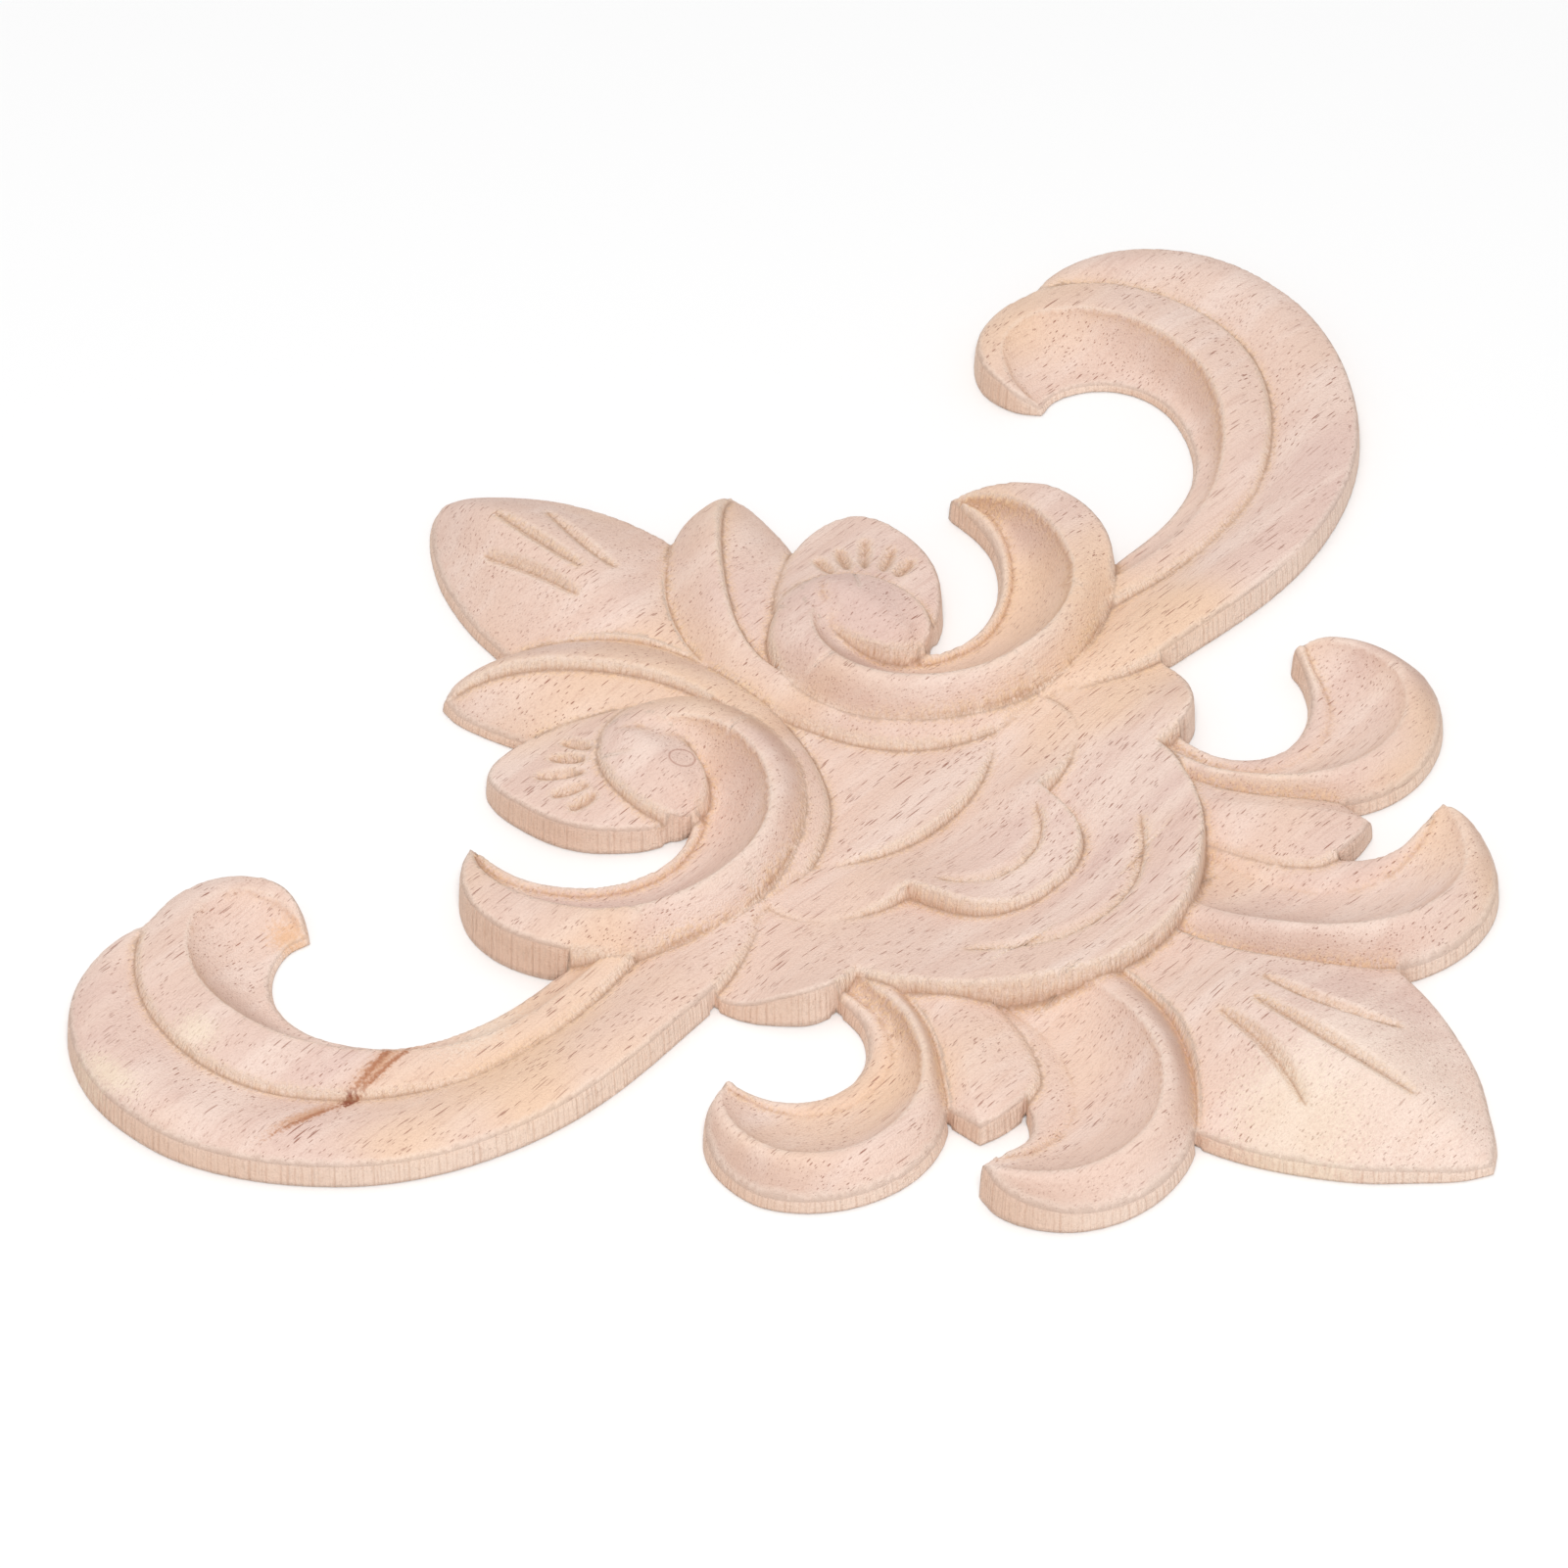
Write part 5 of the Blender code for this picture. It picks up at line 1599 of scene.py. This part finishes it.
    def open_pores(self, graph: Graph, wavy: Signal, colour: Signal, height: Signal,
                   end_grain: Signal) -> tuple[Signal, Signal]:
        """Adds the pores: dashes along the face, and dots where the face cuts across them.

        Args:
            graph: the shader tree.
            wavy: place in millimetres, bent with the grain.
            colour: the wood's colour.
            height: the surface's height.
            end_grain: 0 where the face runs with the grain, 1 where it cuts across.

        Returns:
            Colour and height with the pores.
        """
        patchy = graph.noise(graph.vector("MULTIPLY", wavy, (0.05, 0.1, 0.1)), 1.0)
        strength = 0.45 + patchy.band(0.3, 0.7) * 0.55
        for pores in (Pores(0.7, 14.0, 0.19, 0.92, 0.0), Pores(0.42, 7.0, 0.2, 0.85, 5.7)):
            mask = pores.mask(graph, wavy) * strength * (1.0 - end_grain * 0.35)
            colour = graph.mix(mask, colour, tone(*self.pore))
            height = height - mask
        return colour, height

    def rough_walls(self, graph: Graph, signs: tuple[Signal, Signal, Signal, Signal],
                    colour: Signal, height: Signal) -> tuple[Signal, Signal]:
        """Adds the cut walls' torn grain, upright cutter marks and painted shade in their furrows.

        Args:
            graph: the shader tree.
            signs: 1 on a cut wall; length along its edge; 1 on end grain; torn noise.
            colour: the wood's colour.
            height: the surface's height.

        Returns:
            Colour and height with the walls.
        """
        wall, along, end_grain, torn = signs
        marks = graph.node("ShaderNodeTexNoise", {"noise_dimensions": "1D"},
                           {"W": along, "Scale": 1.7, "Detail": 1.0}).out(0)
        shade = graph.mix(end_grain.band(0.55, 1.05), tone(*self.cut), tone(*self.cut_end))
        # The furrows between the marks take the crease colour: part torn grain, part painted shade
        furrow = (marks * 0.6 + torn * 0.4).band(0.47, 0.68)
        shade = graph.mix(furrow * 0.38, shade, tone(*self.crease_shade))
        colour = graph.mix(wall * 0.75, colour, shade)
        return colour, height + wall * (torn * 2.0 - marks * 1.6)

    def growth(self, graph: Graph, place: Signal, colour: Signal, fray: Signal) -> Signal:
        """Adds the knot and its streaks, the torn places and the growth ring on one scroll.

        Args:
            graph: the shader tree.
            place: place in millimetres.
            colour: the wood's colour.
            fray: a noise around 0.

        Returns:
            The colour with them.
        """
        dark, brown, tan = (146, 80, 56), (182, 122, 90), (214, 166, 134)
        cream, orange, bone = (247, 230, 202), (236, 188, 146), (249, 231, 215)
        for stain in (Stain((-107.5, 26.6), (14.0, 2.5), tan, 0.9, 0.9, 6.0),
                      Stain((-108.0, 27.1), (13.0, 1.0), brown, 0.95, 0.9, 10.0),
                      Stain((-107.5, 25.4), (13.0, 0.7), brown, 0.95, 0.9, 2.5),
                      Stain((-124.5, 27.6), (11.0, 2.0), tan, 0.9, 0.9, -9.5),
                      Stain((-124.0, 26.8), (11.0, 0.8), brown, 0.9, 0.9, -9.5),
                      Stain((-116.6, 25.6), (2.5, 1.5), dark, 0.95, 0.8),
                      Stain((-124.5, 53.5), (5.0, 6.0), cream, 0.5, 1.0),
                      Stain((-140.5, 57.5), (4.0, 10.0), cream, 0.55, 1.0),
                      Stain((-94.8, 62.0), (5.0, 5.0), orange, 0.8, 1.0),
                      Stain((-90.0, 20.5), (13.0, 4.5), bone, 0.6, 1.0),
                      Stain((0.0, -98.0), (26.0, 28.0), bone, 0.5, 1.0),
                      Stain((-15.0, -92.0), (14.0, 17.0), cream, 0.32, 0.7, -25.0)):
            colour = stain.over(graph, place, colour, fray * 1.6)
        ring_middle, one_over_radii = (-23.4, 38.6, 0.0), (0.42, 0.5, 0.0)
        offset = graph.vector("SUBTRACT", place, ring_middle)
        around = graph.node("ShaderNodeVectorMath", {"operation": "LENGTH"},
                            {0: graph.vector("MULTIPLY", offset, one_over_radii)}).out("Value")
        off_ring = graph.maths("ABSOLUTE", around - 1.0)
        return graph.mix(off_ring.band(0.13, 0.02) * 0.5, colour, tone(*self.pore))


@dataclass(frozen=True)
class CutterMarks:
    """Upright ripples that the cutter leaves on the walls, as Geometry Nodes.

    Attributes:
        pitch: their spacing along the edge, in millimetres.
        depth: how far they stand in and out, in millimetres.
        seed: the random pattern.
        seed_step: how far one seed's pattern lies from the next.
    """

    pitch: float = 1.6
    depth: float = 0.09
    seed: int = 7
    seed_step: float = 13.7

    def tree(self) -> bpy.types.NodeTree:
        """Builds the Geometry Nodes tree.

        Returns:
            The tree, whose inputs are Pitch, Depth, Seed and Wood.
        """
        tree = bpy.data.node_groups.new("cutter marks", "GeometryNodeTree")
        face = tree.interface
        face.new_socket("Geometry", in_out="INPUT", socket_type="NodeSocketGeometry")
        for name, kind in (("Pitch", "NodeSocketFloat"), ("Depth", "NodeSocketFloat"),
                           ("Seed", "NodeSocketInt"), ("Wood", "NodeSocketMaterial")):
            face.new_socket(name, in_out="INPUT", socket_type=kind)
        face.new_socket("Geometry", in_out="OUTPUT", socket_type="NodeSocketGeometry")
        graph = Graph(tree)
        given = graph.node("NodeGroupInput")
        along = graph.node("GeometryNodeInputNamedAttribute", {"data_type": "FLOAT"},
                           {"Name": "along"}).out("Attribute")
        wall = graph.node("GeometryNodeInputNamedAttribute", {"data_type": "FLOAT"},
                          {"Name": "wall"}).out("Attribute")
        beat = along / given.out("Pitch") + given.out("Seed") * self.seed_step
        ripple = graph.node("ShaderNodeTexNoise", {"noise_dimensions": "1D"},
                            {"W": beat, "Scale": 1.0, "Detail": 2.0}).out(0)
        reach = (ripple - 0.5) * wall * given.out("Depth") * MM * 2
        normal = graph.node("GeometryNodeInputNormal").out(0)
        shift = graph.node("ShaderNodeVectorMath", {"operation": "SCALE"},
                           {0: normal, "Scale": reach}).out(0)
        level = graph.vector("MULTIPLY", shift, (1.0, 1.0, 0.0))
        moved = graph.node("GeometryNodeSetPosition", None,
                           {"Geometry": given.out("Geometry"), "Offset": level}).out(0)
        real = graph.node("GeometryNodeRealizeInstances", None, {0: moved}).out(0)
        dressed = graph.node("GeometryNodeSetMaterial", None,
                             {"Geometry": real, "Material": given.out("Wood")}).out(0)
        graph.node("NodeGroupOutput", None, {"Geometry": dressed})
        return tree

    def cut(self, piece: bpy.types.Object, wood: bpy.types.Material) -> None:
        """Cuts the marks into a piece and dresses it.

        Args:
            piece: the carved mesh, with the attributes wall and along.
            wood: its material.
        """
        tree = self.tree()
        modifier = piece.modifiers.new("cutter marks", "NODES")
        modifier.node_group = tree
        sizes = {"Pitch": self.pitch, "Depth": self.depth, "Seed": self.seed, "Wood": wood}
        for item in tree.interface.items_tree:
            if item.in_out == "INPUT" and item.name in sizes:
                modifier[item.identifier] = sizes[item.name]
        bpy.context.view_layer.update()
        graph = bpy.context.evaluated_depsgraph_get()
        result = bpy.data.meshes.new_from_object(piece.evaluated_get(graph))
        piece.modifiers.remove(modifier)
        plain = piece.data
        piece.data = result
        bpy.data.meshes.remove(plain)


@dataclass(frozen=True)
class Studio:
    """The pale floor, the soft light and the camera.

    Attributes:
        turn: the camera's azimuth, in degrees.
        rise: its elevation, in degrees.
        roll: its roll, in degrees.
        distance: how far it stands from the middle of the view, in metres.
        aim: the middle of the view.
        lens: focal length in millimetres.
        film: width of the frame in millimetres.
        far: how far the camera sees, in metres.
        floor_half: half the floor's width, in metres.
        floor_top: the floor's height, just under the applique's back.
        white: the floor's colour.
        floor_roughness: the floor's roughness.
        surround: strength of the even light.
    """

    turn: float = -46.979
    rise: float = 43.815
    roll: float = 0.13
    distance: float = 1.48822
    aim: tuple[float, float, float] = (-0.00918, 0.02808, 0.0)
    lens: float = 199.0
    film: float = 36.0
    far: float = 20.0
    floor_half: float = 3.0
    floor_top: float = -0.0003
    white: tuple[float, float, float, float] = (0.96, 0.96, 0.96, 1.0)
    floor_roughness: float = 0.9
    surround: float = 0.58

    def camera(self) -> None:
        """Places the camera."""
        turn, rise, roll = (math.radians(v) for v in (self.turn, self.rise, self.roll))
        back = Vector((math.sin(turn) * math.cos(rise), -math.cos(turn) * math.cos(rise),
                       math.sin(rise)))
        level = Vector((math.cos(turn), math.sin(turn), 0.0))
        upright = back.cross(level)
        right = math.cos(roll) * level + math.sin(roll) * upright
        up = math.cos(roll) * upright - math.sin(roll) * level
        data = bpy.data.cameras.new("camera")
        data.lens = self.lens
        data.sensor_width = self.film
        data.clip_end = self.far
        camera = bpy.data.objects.new("camera", data)
        camera.matrix_world = Matrix.Translation(Vector(self.aim) + back * self.distance) @ (
            Matrix((right, up, back)).transposed().to_4x4())
        bpy.context.scene.collection.objects.link(camera)
        bpy.context.scene.camera = camera

    def floor(self) -> None:
        """Lays the floor."""
        half, top = self.floor_half, self.floor_top
        mesh = bpy.data.meshes.new("floor")
        mesh.from_pydata([(-half, -half, top), (half, -half, top), (half, half, top),
                          (-half, half, top)], [], [(0, 1, 2, 3)])
        floor = bpy.data.objects.new("floor", mesh)
        material = bpy.data.materials.new("pale floor")
        material.use_nodes = True
        shader = material.node_tree.nodes["Principled BSDF"]
        shader.inputs["Base Color"].default_value = self.white
        shader.inputs["Roughness"].default_value = self.floor_roughness
        mesh.materials.append(material)
        bpy.context.scene.collection.objects.link(floor)

    def light(self) -> None:
        """Hangs two soft lamps and sets the even light round them."""
        world = bpy.data.worlds.new("studio")
        world.use_nodes = True
        background = world.node_tree.nodes["Background"]
        background.inputs["Color"].default_value = (1.0, 1.0, 1.0, 1.0)
        background.inputs["Strength"].default_value = self.surround
        bpy.context.scene.world = world
        bpy.context.scene.view_settings.view_transform = "Standard"
        for name, place, size, power in (("key", (-0.75, -0.7, 1.5), 0.6, 16.0),
                                         ("top", (0.2, 0.5, 1.7), 1.2, 4.0)):
            lamp = bpy.data.lights.new(name, "AREA")
            lamp.shape = "DISK"
            lamp.size = size
            lamp.energy = power
            holder = bpy.data.objects.new(name, lamp)
            aim = Vector((0.0, 0.0, 0.0)) - Vector(place)
            holder.matrix_world = Matrix.Translation(Vector(place)) @ (
                aim.to_track_quat("-Z", "Y").to_matrix().to_4x4())
            bpy.context.scene.collection.objects.link(holder)


def main() -> None:
    """Builds the dressed applique and the studio."""
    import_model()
    parts = [DropLeaf(), LowerScrolls(), Shield(), CrestLeaves(), Wing(), ShellScroll()]
    forms = [form for part in parts for form in part.forms()]
    log.info("%d forms drawn", len(forms))
    carving = Carving(forms)
    piece = carving.build("carved_ornament")
    CutterMarks().cut(piece, Rubberwood().material())
    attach(piece, "root")
    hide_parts("carved_applique")
    log.info("carved ornament dressed")
    studio = Studio()
    studio.floor()
    studio.light()
    studio.camera()
    log.info("studio ready")


def plain(box: object) -> list:
    """A box as plain lists of numbers.

    Args:
        box: its low and high corner.

    Returns:
        The two corners as lists.
    """
    return [[float(value) for value in corner] for corner in box]


if __name__ == "__main__":
    logging.basicConfig(level=logging.INFO, format="%(message)s")
    main()
